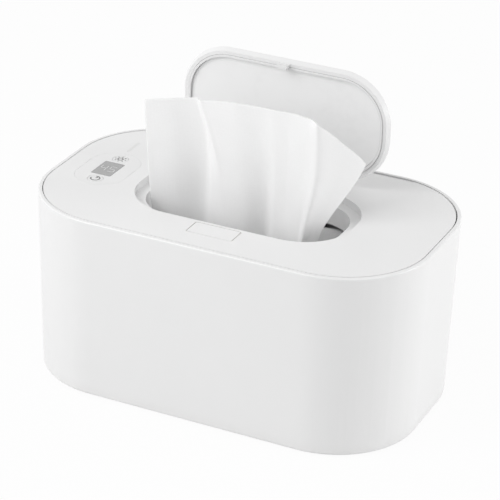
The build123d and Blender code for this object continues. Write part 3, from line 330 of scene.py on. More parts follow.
def seat_polish(finish, at):
    """Fingers wipe over the seat's edge and the button's surroundings."""
    rubbed = finish.outside(at, LID_MIDDLE, *SEAT_HALF, SEAT_CORNER)
    near = finish.ease(rubbed, RUBBED_WIDTH, 1 * MM)
    return near * finish.ease(finish.cloud(at, 20 * MM, 3.0), 0.35, 0.65)


def seam_shade(finish, at):
    """Painted shade in the seam round the top, in patches, and in the one round the button."""
    rim_gap = finish.outside(at, (0.0, 0.0), HALF_X, HALF_Y, CORNER)
    by_rim = finish.ease(rim_gap, SEAM_FROM, SEAM_TO) * finish.cloud(at, 5 * MM, 3.0) * 0.18
    key_gap = finish.outside(at, BUTTON_MIDDLE, *BUTTON_HALF, BUTTON_CORNER)
    by_key = finish.ease(key_gap.math("ABSOLUTE", key_gap, 0.0), KEY_SEAM, 0.1 * MM) * 0.5
    return by_rim + by_key


def painted_light_in_mouth(finish, at):
    """Painted light: inside the mouth, below the ledge, the plastic is painted whiter."""
    height = finish.split(at)[2]
    ledge = TOP - LEDGE_DEPTH
    return finish.ease(height, ledge + 0.4 * MM, ledge - 0.4 * MM)


white_wall = moulded("white_wall", 0.84, 0.40, polish=rim_polish, dust=foot_dust)
white_top = moulded("white_top", 0.84, 0.42, polish=seat_polish, dust=seam_shade,
                    bright=painted_light_in_mouth)
white_lid = moulded("white_lid", 0.84, 0.38)
white_base = moulded("white_base", 0.74, 0.52, grain=0.7 * MM, depth=0.01 * MM, warm=0.004)
tub_white = moulded("tub_white", 0.93, 0.34, grain=0.25 * MM, depth=0.002 * MM, warm=0.006)
key_white = moulded("key_white", 0.80, 0.36, grain=0.2 * MM, depth=0.002 * MM)
print("white plastics ready")

# %% [markdown]
# ## The wall, the top and the lid
#
# Each of these is the CAD solid itself, but as one smooth mesh: a copy is merged, its flat
# faces are joined up again, and every sharp edge gets the tiny round that a mould leaves.
# That round is what catches the light along a seam. The copy then stands for its node.

# %% A helper that turns a loose CAD mesh into a finished moulding
MERGED_WITHIN = 0.002 * MM
FLAT_WITHIN = math.radians(0.4)         # faces nearer than this in angle are one flat face
ROUNDED_FROM = math.radians(35)         # edges sharper than this get the mould's round
SMOOTH_UP_TO = math.radians(30)
FACE_WEIGHT = 80                        # large flat faces decide how a round is shaded


def deselect():
    """Leave nothing selected."""
    for thing in bpy.context.selected_objects:
        thing.select_set(False)


@contextmanager
def editing():
    """Edit the active piece's mesh inside the with block."""
    bpy.ops.object.mode_set(mode="EDIT")
    yield
    bpy.ops.object.mode_set(mode="OBJECT")


def activate(piece):
    """Make one piece the only selected and active one."""
    deselect()
    piece.select_set(True)
    bpy.context.view_layer.objects.active = piece


def apply_modifier(piece, kind, **settings):
    """Add a modifier and apply it."""
    activate(piece)
    modifier = piece.modifiers.new(kind.lower(), kind)
    for setting, value in settings.items():
        setattr(modifier, setting, value)
    bpy.ops.object.modifier_apply(modifier=modifier.name)


def moulding(node, name, finish, edge=0.25 * MM):
    """A merged, edge-rounded copy of a CAD node that stands for it."""
    source = frame["nodes"][node]
    piece = placed(name, source.data.copy())
    piece.data.materials.clear()
    activate(piece)
    bpy.ops.mesh.customdata_custom_splitnormals_clear()
    with editing():
        bpy.ops.mesh.select_all(action="SELECT")
        bpy.ops.mesh.remove_doubles(threshold=MERGED_WITHIN)
        bpy.ops.mesh.dissolve_limited(angle_limit=FLAT_WITHIN)
    if edge:
        apply_modifier(piece, "BEVEL", width=edge, segments=2, limit_method="ANGLE",
                       angle_limit=ROUNDED_FROM, use_clamp_overlap=True,
                       miter_outer="MITER_ARC")
    piece.data.materials.append(finish)
    activate(piece)
    bpy.ops.object.shade_smooth_by_angle(angle=SMOOTH_UP_TO)
    apply_modifier(piece, "WEIGHTED_NORMAL", keep_sharp=True, weight=FACE_WEIGHT)
    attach(piece, source["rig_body"])
    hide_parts(node)
    print(name, "has", len(piece.data.polygons), "faces")
    return piece


# %% [markdown]
# ### The four white mouldings
#
# The wall leans in a little towards its foot. The button has the tone of the top, so only
# its fine seam shows.

# %% The four white mouldings
moulding("outer_shell", "shell_wall", white_wall)
moulding("top_cover", "cover_skin", white_top)
moulding("flip_lid", "open_lid", white_lid)
moulding("latch_button", "release_key", white_top)

# %% [markdown]
# ## The lid's inner panel and its seal
#
# The underside of the lid has a sunk panel with a soft ring round it. The ring is what
# keeps the wipes damp: it presses on the ledge round the mouth. It is silicone, a shade
# greyer than the plastic and a little clearer, so it reads as a fine dark line. Damp air
# has left the panel faintly mottled.

# %% The lid's inner panel and its seal
def damp_panel():
    """White plastic with faint water marks left by the damp wipes."""
    finish = Finish("damp_panel")
    at = finish.place()
    marks = finish.ease(finish.cloud(at, 5 * MM, 4.0), 0.40, 0.68)
    patch = finish.ease(finish.cloud(at, 24 * MM), 0.42, 0.60)
    shown = marks * patch
    tone = finish.blend(shown, grey(0.90), grey(0.885))
    return finish.feed(Base_Color=tone, Roughness=0.36 - shown * 0.06,
                       Normal=finish.relief(finish.cloud(at, 0.4 * MM), 0.005 * MM))


def silicone(name, level):
    """Soft rubber: matt, with a fine powdery bloom."""
    finish = Finish(name, Subsurface_Weight=0.08, Subsurface_Scale=2 * MM)
    at = finish.place()
    bloom = finish.cloud(at, 4 * MM, 3.0)
    tone = finish.blend(bloom, grey(level * 0.94), grey(level * 1.04))
    return finish.feed(Base_Color=tone, Roughness=0.55 + bloom * 0.12,
                       Normal=finish.relief(finish.cloud(at, 0.3 * MM), 0.004 * MM))


lid_silicone = silicone("lid_silicone", 0.82)
moulding("lid_liner", "lid_panel", damp_panel(), edge=0.15 * MM)
moulding("lid_seal", "lid_ring", lid_silicone, edge=0.3 * MM)

# %% [markdown]
# ## Base, feet, tub and closing plate
#
# These show when the object is turned over or its top is lifted. The base is a plainer
# grade of the same plastic with a coarser grain, the tub is a smooth polypropylene, and
# the feet are grey rubber buttons.

# %% Base, feet, tub and closing plate
foot_rubber = silicone("foot_rubber", 0.22)
moulding("base_cover", "base_shell", white_base)
moulding("inner_tank", "tub", tub_white)
moulding("under_plate", "closing_plate", tub_white)
moulding("rubber_feet", "feet", foot_rubber, edge=0.5 * MM)

# %% [markdown]
# ## The control panel
#
# A thin printed label lies in a shallow recess: a stadium with a grey window and two
# round keys. The label is a matt film, the window is smoked acrylic, and the keys are the
# wall's plastic with a printed sign. A narrow strip behind the panel lets a light through.

# %% Finishes of the control panel
def printed_film():
    """Matt printed film with a fine pebble grain."""
    finish = Finish("printed_film")
    at = finish.place()
    pebble = finish.cells(at, 0.5 * MM)
    tone = finish.blend(finish.cloud(at, 12 * MM), grey(0.82), grey(0.845))
    return finish.feed(Base_Color=tone, Roughness=0.5 + pebble * 0.1,
                       Normal=finish.relief(pebble, 0.003 * MM))


def smoked_acrylic():
    """Grey acrylic over the display: glossy, with hairline scratches from wiping."""
    finish = Finish("smoked_acrylic", Coat_Roughness=0.08, IOR=1.49)
    at = finish.place()
    hair = finish.cloud(finish.stretched(at, (0.25, 3.0, 1.0)), 0.5 * MM, 4.0)
    lines = finish.ease(hair, 0.62, 0.72)
    tone = finish.blend(finish.cloud(at, 8 * MM), grey(0.31), grey(0.36))
    return finish.feed(Base_Color=tone, Roughness=0.2 + lines * 0.2, Coat_Weight=0.5 - lines * 0.3)


def clear_strip():
    """Milky diffuser of the status light."""
    finish = Finish("clear_strip", Subsurface_Weight=0.1, Subsurface_Scale=1 * MM)
    at = finish.place()
    milk = finish.cloud(at, 3 * MM, 3.0)
    return finish.feed(Base_Color=finish.blend(milk, grey(0.76), grey(0.81)),
                       Roughness=0.28 + milk * 0.1)


moulding("panel_overlay", "label_film", printed_film(), edge=0.1 * MM)
moulding("display_window", "window", smoked_acrylic(), edge=0.2 * MM)
moulding("status_lens", "status_strip", clear_strip(), edge=0.15 * MM)
moulding("power_key", "power_cap", key_white)
moulding("heat_key", "heat_cap", key_white)

# %% [markdown]
# ## The printed signs and the digits
#
# The signs are pad-printed in grey: an on-off sign on the front key, and a ring with rays
# for the warmth on the rear one. Both are plain signs of their kind. Each stroke is a flat
# bar or arc, modelled a few hundredths of a millimetre thick, so it is a real inlay and
# not a picture. The digits are drawn the same way, as bars on the window.

# %% Strokes of ink
INK = 0.06 * MM             # how thick the ink lies
ARC_STEPS = 24


def ink_and_painted_glow(name, level):
    """Pad-printed ink, also the digits' painted glow: flat, with tiny pinholes where the pad
    lifted.
    """
    finish = Finish(name)
    at = finish.place()
    holes = finish.ease(finish.cloud(at, 0.12 * MM, 3.0), 0.60, 0.75)
    tone = finish.blend(holes, grey(level), grey(level * 1.35))
    return finish.feed(Base_Color=tone, Roughness=0.45 + holes * 0.2)


def bar(middle, length, width, turn, height):
    """One flat stroke with rounded ends, lying at a height."""
    deselect()
    bpy.ops.mesh.primitive_plane_add(size=1.0, location=(0, 0, 0))
    piece = bpy.context.active_object
    with editing():
        bpy.ops.transform.resize(value=(length, width, 1.0))
        bpy.ops.mesh.bevel(offset=width * 0.42, offset_type="OFFSET", segments=3, affect="VERTICES")
        bpy.ops.mesh.extrude_region_move(TRANSFORM_OT_translate={"value": (0, 0, INK)})
        bpy.ops.mesh.select_all(action="SELECT")
        bpy.ops.mesh.normals_make_consistent(inside=False)
    piece.data.transform(Matrix.Translation((*middle, height)) @ Matrix.Rotation(turn, 4, "Z"))
    return piece


def arc(middle, radius, width, start, sweep, height):
    """One flat stroke bent round a middle, made by spinning its small upright section."""
    deselect()
    bpy.ops.mesh.primitive_plane_add(size=1.0, location=(0, 0, 0))
    piece = bpy.context.active_object
    with editing():
        bpy.ops.transform.resize(value=(width, INK, 1.0))
        bpy.ops.transform.rotate(value=math.pi / 2, orient_axis="X", center_override=(0, 0, 0))
        bpy.ops.transform.translate(value=(radius, 0, INK / 2))
        bpy.ops.mesh.spin(steps=ARC_STEPS, angle=sweep, center=(0, 0, 0), axis=(0, 0, 1),
                          use_auto_merge=True)
        bpy.ops.mesh.select_all(action="SELECT")
        bpy.ops.mesh.remove_doubles(threshold=0.001 * MM)
        if sweep >= 2 * math.pi:
            bpy.ops.mesh.select_all(action="DESELECT")
            bpy.ops.mesh.select_interior_faces()
            bpy.ops.mesh.delete(type="FACE")
            bpy.ops.mesh.select_all(action="SELECT")
        bpy.ops.mesh.normals_make_consistent(inside=False)
    piece.data.transform(Matrix.Translation((*middle, height)) @ Matrix.Rotation(start, 4, "Z"))
    return piece


def merged(parts):
    """Parts joined into one object."""
    deselect()
    for part in parts:
        part.select_set(True)
    bpy.context.view_layer.objects.active = parts[0]
    if len(parts) > 1:
        bpy.ops.object.join()
    return bpy.context.active_object


def join(parts, name, finish, body):
    """Join parts into one piece with its finish."""
    piece = merged(parts)
    piece.name = name
    piece.data.materials.clear()
    piece.data.materials.append(finish)
    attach(piece, body)
    print(name, "has", len(piece.data.polygons), "faces")
    return piece


def middle_of(node):
    """The middle of a node, seen from above."""
    low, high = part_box(node)
    return ((low.x + high.x) / 2, (low.y + high.y) / 2)


# %% [markdown]
# ### The two signs
#
# The power sign is a ring that is left open for an upright bar, turned a little clockwise.
# The warmth sign is a small closed ring with eight short rays.

# %% The two signs
STROKE = 0.75 * MM
POWER_R = 2.7 * MM
POWER_BAR = 3.0 * MM
POWER_BAR_OUT = 1.8 * MM        # from the middle of the ring to that of its bar
POWER_OPEN = math.radians(70)
LEAN = -math.radians(20)
SUN_R = 1.55 * MM
RAYS = 8
RAY_OUT = 3.15 * MM
RAY_LENGTH = 1.2 * MM
sign_ink = ink_and_painted_glow("sign_ink", 0.20)
key_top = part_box("power_key")[1].z
power_at = middle_of("power_key")
heat_at = middle_of("heat_key")
bar_at = (power_at[0] - POWER_BAR_OUT * math.sin(LEAN),
          power_at[1] + POWER_BAR_OUT * math.cos(LEAN))
ring_start = (math.pi + POWER_OPEN) / 2 + LEAN
join([arc(power_at, POWER_R, STROKE, ring_start, 2 * math.pi - POWER_OPEN, key_top),
      bar(bar_at, POWER_BAR, STROKE, math.pi / 2 + LEAN, key_top)],
     "power_sign", sign_ink, "power_key")
sun = [arc(heat_at, SUN_R, STROKE, 0.0, 2 * math.pi, key_top)]
for ray in range(RAYS):
    turn = ray * 2 * math.pi / RAYS
    spot = (heat_at[0] + RAY_OUT * math.cos(turn), heat_at[1] + RAY_OUT * math.sin(turn))
    sun.append(bar(spot, RAY_LENGTH, STROKE * 0.8, turn, key_top))
join(sun, "heat_sign", sign_ink, "heat_key")

# %% [markdown]
# ### The two digits
#
# A digit has seven segments, each a thin bar with rounded ends. In life they glow faintly through
# the grey window. Here the glow is painted: they lie on it as a film, a tone lighter than it is.

# %% The two digits
SEGMENTS = {"4": "bcfg", "5": "acdfg"}
# Each segment: how far across and up its middle is, and whether it stands upright
SEGMENT_AT = {"a": (0, 1, 0), "b": (0.5, 0.5, 1), "c": (0.5, -0.5, 1), "d": (0, -1, 0),
              "e": (-0.5, -0.5, 1), "f": (-0.5, 0.5, 1), "g": (0, 0, 0)}
DIGIT_W = 3.6 * MM
DIGIT_H = 3.4 * MM          # half of a digit's height
DIGIT_OUT = 2.9 * MM        # from the middle of the window to that of a digit
SEGMENT_SHARE = 0.92        # the rest is the gap between two segments
SEGMENT_W = 0.6 * MM
# the digits' glow, painted as a light grey film
digit_glow = ink_and_painted_glow("digit_glow", 0.62)
window_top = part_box("display_window")[1].z
window_at = middle_of("display_window")
digit_bars = []
for side, digit in ((-1, "4"), (1, "5")):
    for segment in SEGMENTS[digit]:
        across, along, upright = SEGMENT_AT[segment]
        spot = (window_at[0] + side * DIGIT_OUT + across * DIGIT_W,
                window_at[1] + along * DIGIT_H)
        length = (DIGIT_H if upright else DIGIT_W) * SEGMENT_SHARE
        digit_bars.append(bar(spot, length, SEGMENT_W, upright * math.pi / 2, window_top))
join(digit_bars, "digits", digit_glow, "cover")

# %% [markdown]
# ## The wipe
#
# A wipe is a thin non-woven cloth, damp and limp. This one is pulled up through the
# mouth: gathered into soft upright folds where the mouth grips it, and opening out above.
# Its right side is folded back and ends in a free corner. A cloth simulation could find
# folds of its own, but here the folds of the photograph are wanted, so they are laid down
# as lines at four heights, and a smooth surface is drawn through them. Finer creases are
# added on top, and the sheet then gets its real thickness.

# %% The fold lines of the wipe, at four heights
# Each line: the corner of every fold (X, Y) and how far the cloth bulges between them
TAIL = (((-52, -11), (-26, -5), (-10, -11.5), (11, -6), (26, -11.5), (38, -14), (45, -9)),
        (-1.2, -0.5, -2, -0.5, -1, -1))
MOUTH = (((-57, -12.5), (-27, -4.8), (-9, -11.5), (14, -6.5), (28, -12), (41.5, -15),
          (48.5, -9)), (-1.2, -0.5, -2.4, -0.5, -1, -1))
SPREAD = (((-60, -13.5), (-26, -5.8), (-17, -11.2), (13, -9.6), (28, -11), (48.5, -13.8),
           (66, 12)), (-0.9, -0.3, -1.2, -0.3, -0.5, -1))
EDGE = (((-62, -12.5), (-34, -8.2), (-29, -10.8), (8, -10), (28, -10.5), (47.5, -12.5),
         (66, 12)), (-0.3, -0.3, -0.5, -0.5, -0.5, -1))
# How far the free edge is below the highest point, at each corner and bulge of EDGE
DROP = (9.3, 6.6, 4.2, 3.8, 3.5, 1.2, 0.6, 0.4, 0.1, 0.2, 2.0, 17, 31.5)
WIPE_HIGH = TOP + 63 * MM
CLOTH_T = 0.55 * MM
BEHIND = Vector((0, 0.7 * MM, 0))       # the whole wipe stands this much farther back


def line_points(line):
    """Corners and bulges of one fold line in their order."""
    corners, bulges = line
    points = []
    for (x0, y0), (x1, y1), bulge in zip(corners, corners[1:], bulges):
        points += [(x0, y0), ((x0 + x1) / 2, (y0 + y1) / 2 + bulge)]
    return [Vector((x * MM, y * MM, 0)) for x, y in points + [corners[-1]]]


def through(values, share):
    """A smooth curve through values, at a share of its length in steps."""
    spans = len(values) - 1
    span = min(int(share * spans), spans - 1)
    t = share * spans - span
    before = values[max(span - 1, 0)]
    first, second = values[span], values[span + 1]
    after = values[min(span + 2, spans)]
    slope = second - before
    bend = before * 2 - first * 5 + second * 4 - after
    twist = first * 3 - before - second * 3 + after
    return (first * 2 + slope * t + bend * t * t + twist * t * t * t) * 0.5


fold_lines = [line_points(line) for line in (TAIL, MOUTH, SPREAD, EDGE)]
wipe_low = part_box("wipe")[0].z
fold_heights = (wipe_low, TOP - 9 * MM, TOP + 31.5 * MM, WIPE_HIGH + 2 * MM)
print("the wipe's folds at", [round(height / MM, 1) for height in fold_heights], "mm")

# %% [markdown]
# ### The surface and its creases
#
# Between two fold lines the surface leaves each of them in the direction in which it came,
# so no line shows as a kink. Then come the creases: a sharp one that fades downwards, the
# round edge where the right side is folded back, long upright creases where the mouth
# gathers the cloth, slanted ones from the pull, and fine crumples. Solidify gives the sheet
# its thickness.

# %% The surface and its creases
def cloth_point(across, height):
    """The middle of the cloth at a share of its width and at a height."""
    lines = [through(line, across) for line in fold_lines]
    highest = len(lines) - 2
    level = 0
    while level < highest and height > fold_heights[level + 1]:
        level += 1
    t = (height - fold_heights[level]) / (fold_heights[level + 1] - fold_heights[level])
    first, second = lines[level], lines[level + 1]
    start = (second - lines[level - 1]) * 0.5 if level else second - first
    end = (lines[level + 2] - first) * 0.5 if level < highest else second - first
    point = (first * (2 * t**3 - 3 * t**2 + 1) + start * (t**3 - 2 * t**2 + t)
             + second * (3 * t**2 - 2 * t**3) + end * (t**3 - t**2))
    return Vector((point.x, point.y, height)) + BEHIND


SLANTED_CREASE = 4 / 12       # where the sharp crease runs, as a share of the width
SLANTED_WIDTH = 0.014
SLANTED_HEIGHT = 1.1 * MM
FADES_OVER = (12 * MM, 37 * MM)     # above the top: gone at the first, full at the second
FOLDED_EDGE = 10 / 12         # where the right side is folded back
FOLDED_WIDTH = 0.030
FOLDED_HEIGHT = 2.4 * MM
# Each kind of crease: how often across, slanted and upwards in a metre, its own place in the
# noise, and its depth
CREASES = ((70, 0, 14, 3.1, 0.35 * MM),
           (120, 55, 30, 8.7, 0.25 * MM),
           (420, 0, 260, 5.2, 0.06 * MM))


def creased(point, across):
    """The point pushed forward or back by all the creases."""
    gone, full = FADES_OVER
    fade = min(max((point.z - TOP - gone) / (full - gone), 0.0), 1.0)
    push = (-SLANTED_HEIGHT * fade * math.exp(-abs(across - SLANTED_CREASE) / SLANTED_WIDTH)
            - FOLDED_HEIGHT * math.exp(-((across - FOLDED_EDGE) / FOLDED_WIDTH) ** 2))
    for often, slant, upward, own, depth in CREASES:
        spot = Vector((point.x * often + point.z * slant, point.z * upward, own))
        push += noise.noise(spot) * depth
    return point + Vector((0, push, 0))


CLOTH_W = 0.15                # metres of cloth from side to side, for its pressed pattern


def cloth_sheet(name, columns, rows, place):
    """A sheet of cloth. place gives the point for a share across and a share up."""
    points, flat_places, faces = [], [], []
    for row in range(rows + 1):
        for column in range(columns + 1):
            point = place(column / columns, row / rows)
            points.append(point)
            flat_places.append((column / columns * CLOTH_W, point.z))
    for row in range(rows):
        for column in range(columns):
            start = row * (columns + 1) + column
            faces.append((start, start + 1, start + columns + 2, start + columns + 1))
    mesh = bpy.data.meshes.new(name)
    mesh.from_pydata(points, [], faces)
    spread = mesh.uv_layers.new(name="cloth")
    for loop in mesh.loops:
        spread.data[loop.index].uv = flat_places[loop.vertex_index]
    piece = placed(name, mesh)
    apply_modifier(piece, "SOLIDIFY", thickness=CLOTH_T, offset=0.0)
    activate(piece)
    bpy.ops.object.shade_smooth()
    print(name, "has", len(piece.data.polygons), "faces")
    return piece


drops = [Vector((drop * MM, 0, 0)) for drop in DROP]
tail_z = wipe_low + 0.6 * MM


def pulled_place(across, up_share):
    """A point of the pulled wipe, from its tail on the packet to its free edge."""
    top = WIPE_HIGH - through(drops, across).x
    height = tail_z + (top - tail_z) * up_share
    return creased(cloth_point(across, height), across)


pulled_wipe = cloth_sheet("pulled_wipe", 170, 110, pulled_place)

# %% [markdown]
# ### The cloth's finish
#
# The cloth is laid down as loose fibres, mostly lengthwise, and pressed together with a
# pattern of dots. It is damp in patches, lets a little light through, and rides the cover.

# %% The cloth's finish
def wipe_cloth():
    """Non-woven cloth: long soft fibres, and a fine pressed pattern of small dots."""
    finish = Finish("wipe_cloth", Subsurface_Weight=0.45, Subsurface_Scale=3 * MM,
                    Sheen_Weight=0.2, Sheen_Roughness=0.5)
    on_cloth = finish.add("ShaderNodeUVMap", {"uv_map": "cloth"})
    fibres = finish.cloud(finish.stretched(on_cloth, (1.0, 0.22, 1.0)), 0.35 * MM, 4.0)
    cross = finish.cloud(finish.stretched(on_cloth, (0.3, 1.0, 1.0)), 0.5 * MM, 3.0)
    dots = finish.cells(on_cloth, 1.6 * MM, randomness=0.15)
    pressed = finish.ease(dots, 0.28, 0.50)
    damp = finish.ease(finish.cloud(on_cloth, 22 * MM, 3.0), 0.42, 0.66)
    tone = finish.blend(fibres, grey(0.88), grey(0.94))
    tone = finish.blend(damp * 0.3, tone, grey(0.88))
    tone = finish.blend((1 - pressed) * 0.06, tone, grey(0.80))
    relief = fibres * 0.5 + cross * 0.3 + pressed * 0.25
    return finish.feed(Base_Color=tone, Roughness=0.86 - damp * 0.2,
                       Normal=finish.relief(relief, 0.03 * MM))


cloth_finish = wipe_cloth()
pulled_wipe.data.materials.append(cloth_finish)
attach(pulled_wipe, "cover")
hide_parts("wipe")
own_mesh(pulled_wipe)

# %% [markdown]
# ## The folded wipes in the tub
#
# Below lies the packet: wipes folded and laid on each other. Each is a flat slab with
# round corners and soft edges. One is modelled and copied for every layer, and each copy is
# nudged and shrunk a little, so the pile isn't perfectly true. The cloth's pattern is laid
# on it from above, and drawn down over its sides.

# %% The folded wipes in the tub
STACK_LAYERS = 16
SLAB_INSET = 2.4 * MM       # how much shorter and narrower a slab is than the pile
SLAB_CORNER = 6 * MM
SLAB_ROUND = 0.34           # share of a slab's thickness
NUDGE = 0.9 * MM
MOST_SHRUNK = 0.006
stack_low, stack_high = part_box("wipe_stack")
layer_t = (stack_high.z - stack_low.z) / STACK_LAYERS
stack_size = stack_high - stack_low
stack_middle = (stack_low + stack_high) / 2
random.seed(4)


def bevelled(piece, wanted, **settings):
    """Bevel every edge whose rise, from one end to the other, is wanted."""
    for edge in piece.data.edges:
        ends = [piece.data.vertices[index].co for index in edge.vertices]
        edge.select = wanted(abs(ends[0].z - ends[1].z))
    with editing():
        bpy.ops.mesh.select_mode(type="EDGE")
        bpy.ops.mesh.bevel(**settings)


def folded_wipe():
    """A folded wipe lying flat: a slab with round corners and soft edges."""
    deselect()
    bpy.ops.mesh.primitive_cube_add(size=1.0, location=(0, 0, 0))
    piece = bpy.context.active_object
    with editing():
        bpy.ops.transform.resize(value=(stack_size.x - SLAB_INSET, stack_size.y - SLAB_INSET,
                                        layer_t * 0.96))
    bevelled(piece, lambda rise: rise > layer_t / 2, offset=SLAB_CORNER, segments=5)
    bevelled(piece, lambda rise: rise < layer_t / 4, offset=layer_t * SLAB_ROUND, segments=3,
             clamp_overlap=True)
    return piece


slab = folded_wipe()
layers = []
for count in range(STACK_LAYERS):
    layer = placed("layer", slab.data.copy())
    nudge = Vector((random.uniform(-1, 1), random.uniform(-1, 1), 0)) * NUDGE
    shrink = 1 - random.uniform(0, MOST_SHRUNK)
    rise = stack_low.z + (count + 0.5) * layer_t
    spot = Vector((stack_middle.x, stack_middle.y, rise)) + nudge
    layer.data.transform(Matrix.Translation(spot) @ Matrix.Diagonal((shrink, shrink, 1, 1)))
    layers.append(layer)
bpy.data.objects.remove(slab)
packet = join(layers, "wipe_packet", cloth_finish, "housing")
spread = packet.data.uv_layers.new(name="cloth")
for loop in packet.data.loops:
    point = packet.data.vertices[loop.vertex_index].co
    spread.data[loop.index].uv = (point.x, point.y + point.z)
activate(packet)
bpy.ops.object.shade_smooth_by_angle(angle=math.radians(40))
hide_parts("wipe_stack")

# %% [markdown]
# ## The next wipe
#
# The wipes are folded into each other, so the one that is pulled draws the next one up a
# little behind it. It stands as a loose ridge under the rear of the mouth, and it is what
# one sees in there beside the pulled wipe. Its section is a curve through nine points, and
# the ridge sinks to the packet at both ends.

# %% The next wipe
RIDGE = ((-8, 0.0), (-2, 2.5), (6, 11), (14, 21), (21, 28), (27, 26), (34, 14), (41, 3), (46, 0.0))
RIDGE_LEFT = -72 * MM
RIDGE_RIGHT = 82 * MM
SINKS_OVER = 0.17             # share of its length over which each end sinks
WAVES = 2.4 * MM
CRUMPLES = 0.5 * MM
ridge_line = [Vector((0, y * MM, z * MM)) for y, z in RIDGE]


def ridge_place(across, up_share):
    """A point of the next wipe: across the tub, and from its front edge over the ridge."""
    x = RIDGE_LEFT + (RIDGE_RIGHT - RIDGE_LEFT) * across
    from_end = min(min(across, 1 - across) / SINKS_OVER, 1.0)
    stands = from_end ** 2 * (3 - 2 * from_end)
    section = through(ridge_line, up_share)
    wave = noise.noise(Vector((x * 38, section.y * 16, 2.4)))
    crumple = noise.noise(Vector((x * 130 + section.y * 60, section.y * 90, 6.1)))
    lift = max(section.z, 0.0) * stands
    rough = (wave * WAVES + crumple * CRUMPLES) * min(lift / (6 * MM), 1.0)
    return Vector((x, section.y + rough * 0.8, stack_high.z + 0.7 * MM + lift + rough * 0.4))


next_wipe = cloth_sheet("next_wipe", 120, 70, ridge_place)
next_wipe.data.materials.append(cloth_finish)
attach(next_wipe, "housing")

# %% [markdown]
# ## Soft pieces inside
#
# Foam wraps the tub and keeps the warmth in, and a soft ring seals the top on the tub.

# %% Soft pieces inside
def cell_foam():
    """Closed-cell foam: pale, dull, with the skin of small cells."""
    finish = Finish("cell_foam")
    at = finish.place()
    cells = finish.cells(at, 1.4 * MM)
    tone = finish.blend(finish.ease(cells, 0.2, 0.7), grey(0.50, 0.01), grey(0.62, 0.01))
    return finish.feed(Base_Color=tone, Roughness=0.88 + cells * 0.1,
                       Normal=finish.relief(cells, 0.12 * MM))


foam = cell_foam()
jacket = moulding("insulation_jacket", "foam_jacket", foam, edge=0.8 * MM)
pad = moulding("insulation_pad", "foam_pad", foam, edge=0.8 * MM)
moulding("cover_gasket", "gasket_ring", lid_silicone, edge=0.3 * MM)

# %% [markdown]
# ## The hidden works
#
# Most of the other nodes keep their CAD meshes and get a finish of their own: brushed metal
# for the warm plate, a film with a printed track, green boards, black components, and
# steel for the pins and the lid's spring.

# %% Finishes of the hidden works
TRACK_STEP = 3.5 * MM         # from one turn of the heating track to the next
TRACK_HALF = 42 * MM          # how far the track reaches to either side


def brushed_metal(name, level, roughness, along=(1.0, 14.0, 14.0), warm=0.0):
    """Metal with fine lines in one direction and a few dull patches."""
    finish = Finish(name, Metallic=1.0)
    at = finish.place()
    lines = finish.cloud(finish.stretched(at, along), 2.0 * MM, 4.0)
    dull = finish.cloud(at, 12 * MM)
    tone = finish.blend(lines, grey(level * 0.86, warm), grey(level * 1.08, warm))
    return finish.feed(Base_Color=tone, Roughness=roughness + lines * 0.12 + (dull - 0.5) * 0.16,
                       Normal=finish.relief(lines, 0.01 * MM))


def track_film():
    """Amber film with a metal track printed to and fro on it."""
    finish = Finish("track_film")
    at = finish.place()
    x, y = finish.split(at)[:2]
    wave = x.math("PINGPONG", x + 1.0, TRACK_STEP)
    track = finish.ease(wave, 1.3 * MM, 1.7 * MM)
    inner = finish.ease(y.math("ABSOLUTE", y, 0.0), TRACK_HALF, TRACK_HALF - 0.5 * MM)
    tone = finish.blend(track * inner, (0.46, 0.20, 0.035, 1), (0.60, 0.50, 0.36, 1))
    return finish.feed(Base_Color=tone, Roughness=0.34 + finish.cloud(at, 6 * MM) * 0.1,
                       Normal=finish.relief(track, 0.03 * MM))


def circuit_board():
    """Green board with copper tracks under its lacquer."""
    finish = Finish("circuit_board")
    at = finish.place()
    tracks = finish.cells(at, 5 * MM, distance="MANHATTAN")
    line = finish.ease(tracks, 0.50, 0.54) * finish.ease(tracks, 0.66, 0.62)
    tone = finish.blend(line, (0.012, 0.105, 0.040, 1), (0.045, 0.21, 0.075, 1))
    return finish.feed(Base_Color=tone, Roughness=0.30 + finish.cloud(at, 3 * MM) * 0.12,
                       Normal=finish.relief(line, 0.03 * MM))


def dark_resin(name, level):
    """Black moulding compound with a fine dull grain."""
    finish = Finish(name)
    at = finish.place()
    dust = finish.cloud(at, 0.25 * MM, 3.0)
    tone = finish.blend(dust, grey(level * 0.7), grey(level * 1.4))
    return finish.feed(Base_Color=tone, Roughness=0.48 + dust * 0.2,
                       Normal=finish.relief(dust, 0.008 * MM))


def wrapped_lead():
    """Red-brown silicone sleeve with faint rings from its extrusion."""
    finish = Finish("wrapped_lead")
    at = finish.place()
    rings = finish.cloud(finish.stretched(at, (1.0, 6.0, 6.0)), 2.0 * MM)
    tone = finish.blend(rings, (0.36, 0.05, 0.035, 1), (0.50, 0.09, 0.06, 1))
    return finish.feed(Base_Color=tone, Roughness=0.42 + rings * 0.15)


steel = brushed_metal("steel", 0.56, 0.26, along=(6.0, 6.0, 1.0))
resin = dark_resin("resin", 0.035)
WORKS = {
    "heat_spreader": brushed_metal("warm_plate", 0.78, 0.34),
    "heater_film": track_film(),
    "thermal_cutoff": dark_resin("cutoff_case", 0.10),
    "temperature_sensor": dark_resin("sensor_bead", 0.16),
    "control_board": circuit_board(),
    "display_board": circuit_board(),
    "board_components": resin,
    "dc_jack": resin,
    "digit_module": dark_resin("digit_case", 0.05),
    "key_switches": resin,
    "jack_contact": brushed_metal("pin_metal", 0.72, 0.20, warm=0.05),
    "heater_leads": wrapped_lead(),
    "cover_hinge_pins": steel,
    "lid_hinge_pin": steel,
    "lid_spring": steel,
    "latch_bolt": moulded("bolt_white", 0.74, 0.34, warm=0.003),
}
for node, finish in WORKS.items():
    mesh = frame["nodes"][node].data
    mesh.materials.clear()
    mesh.materials.append(finish)
print(len(WORKS), "hidden nodes finished")

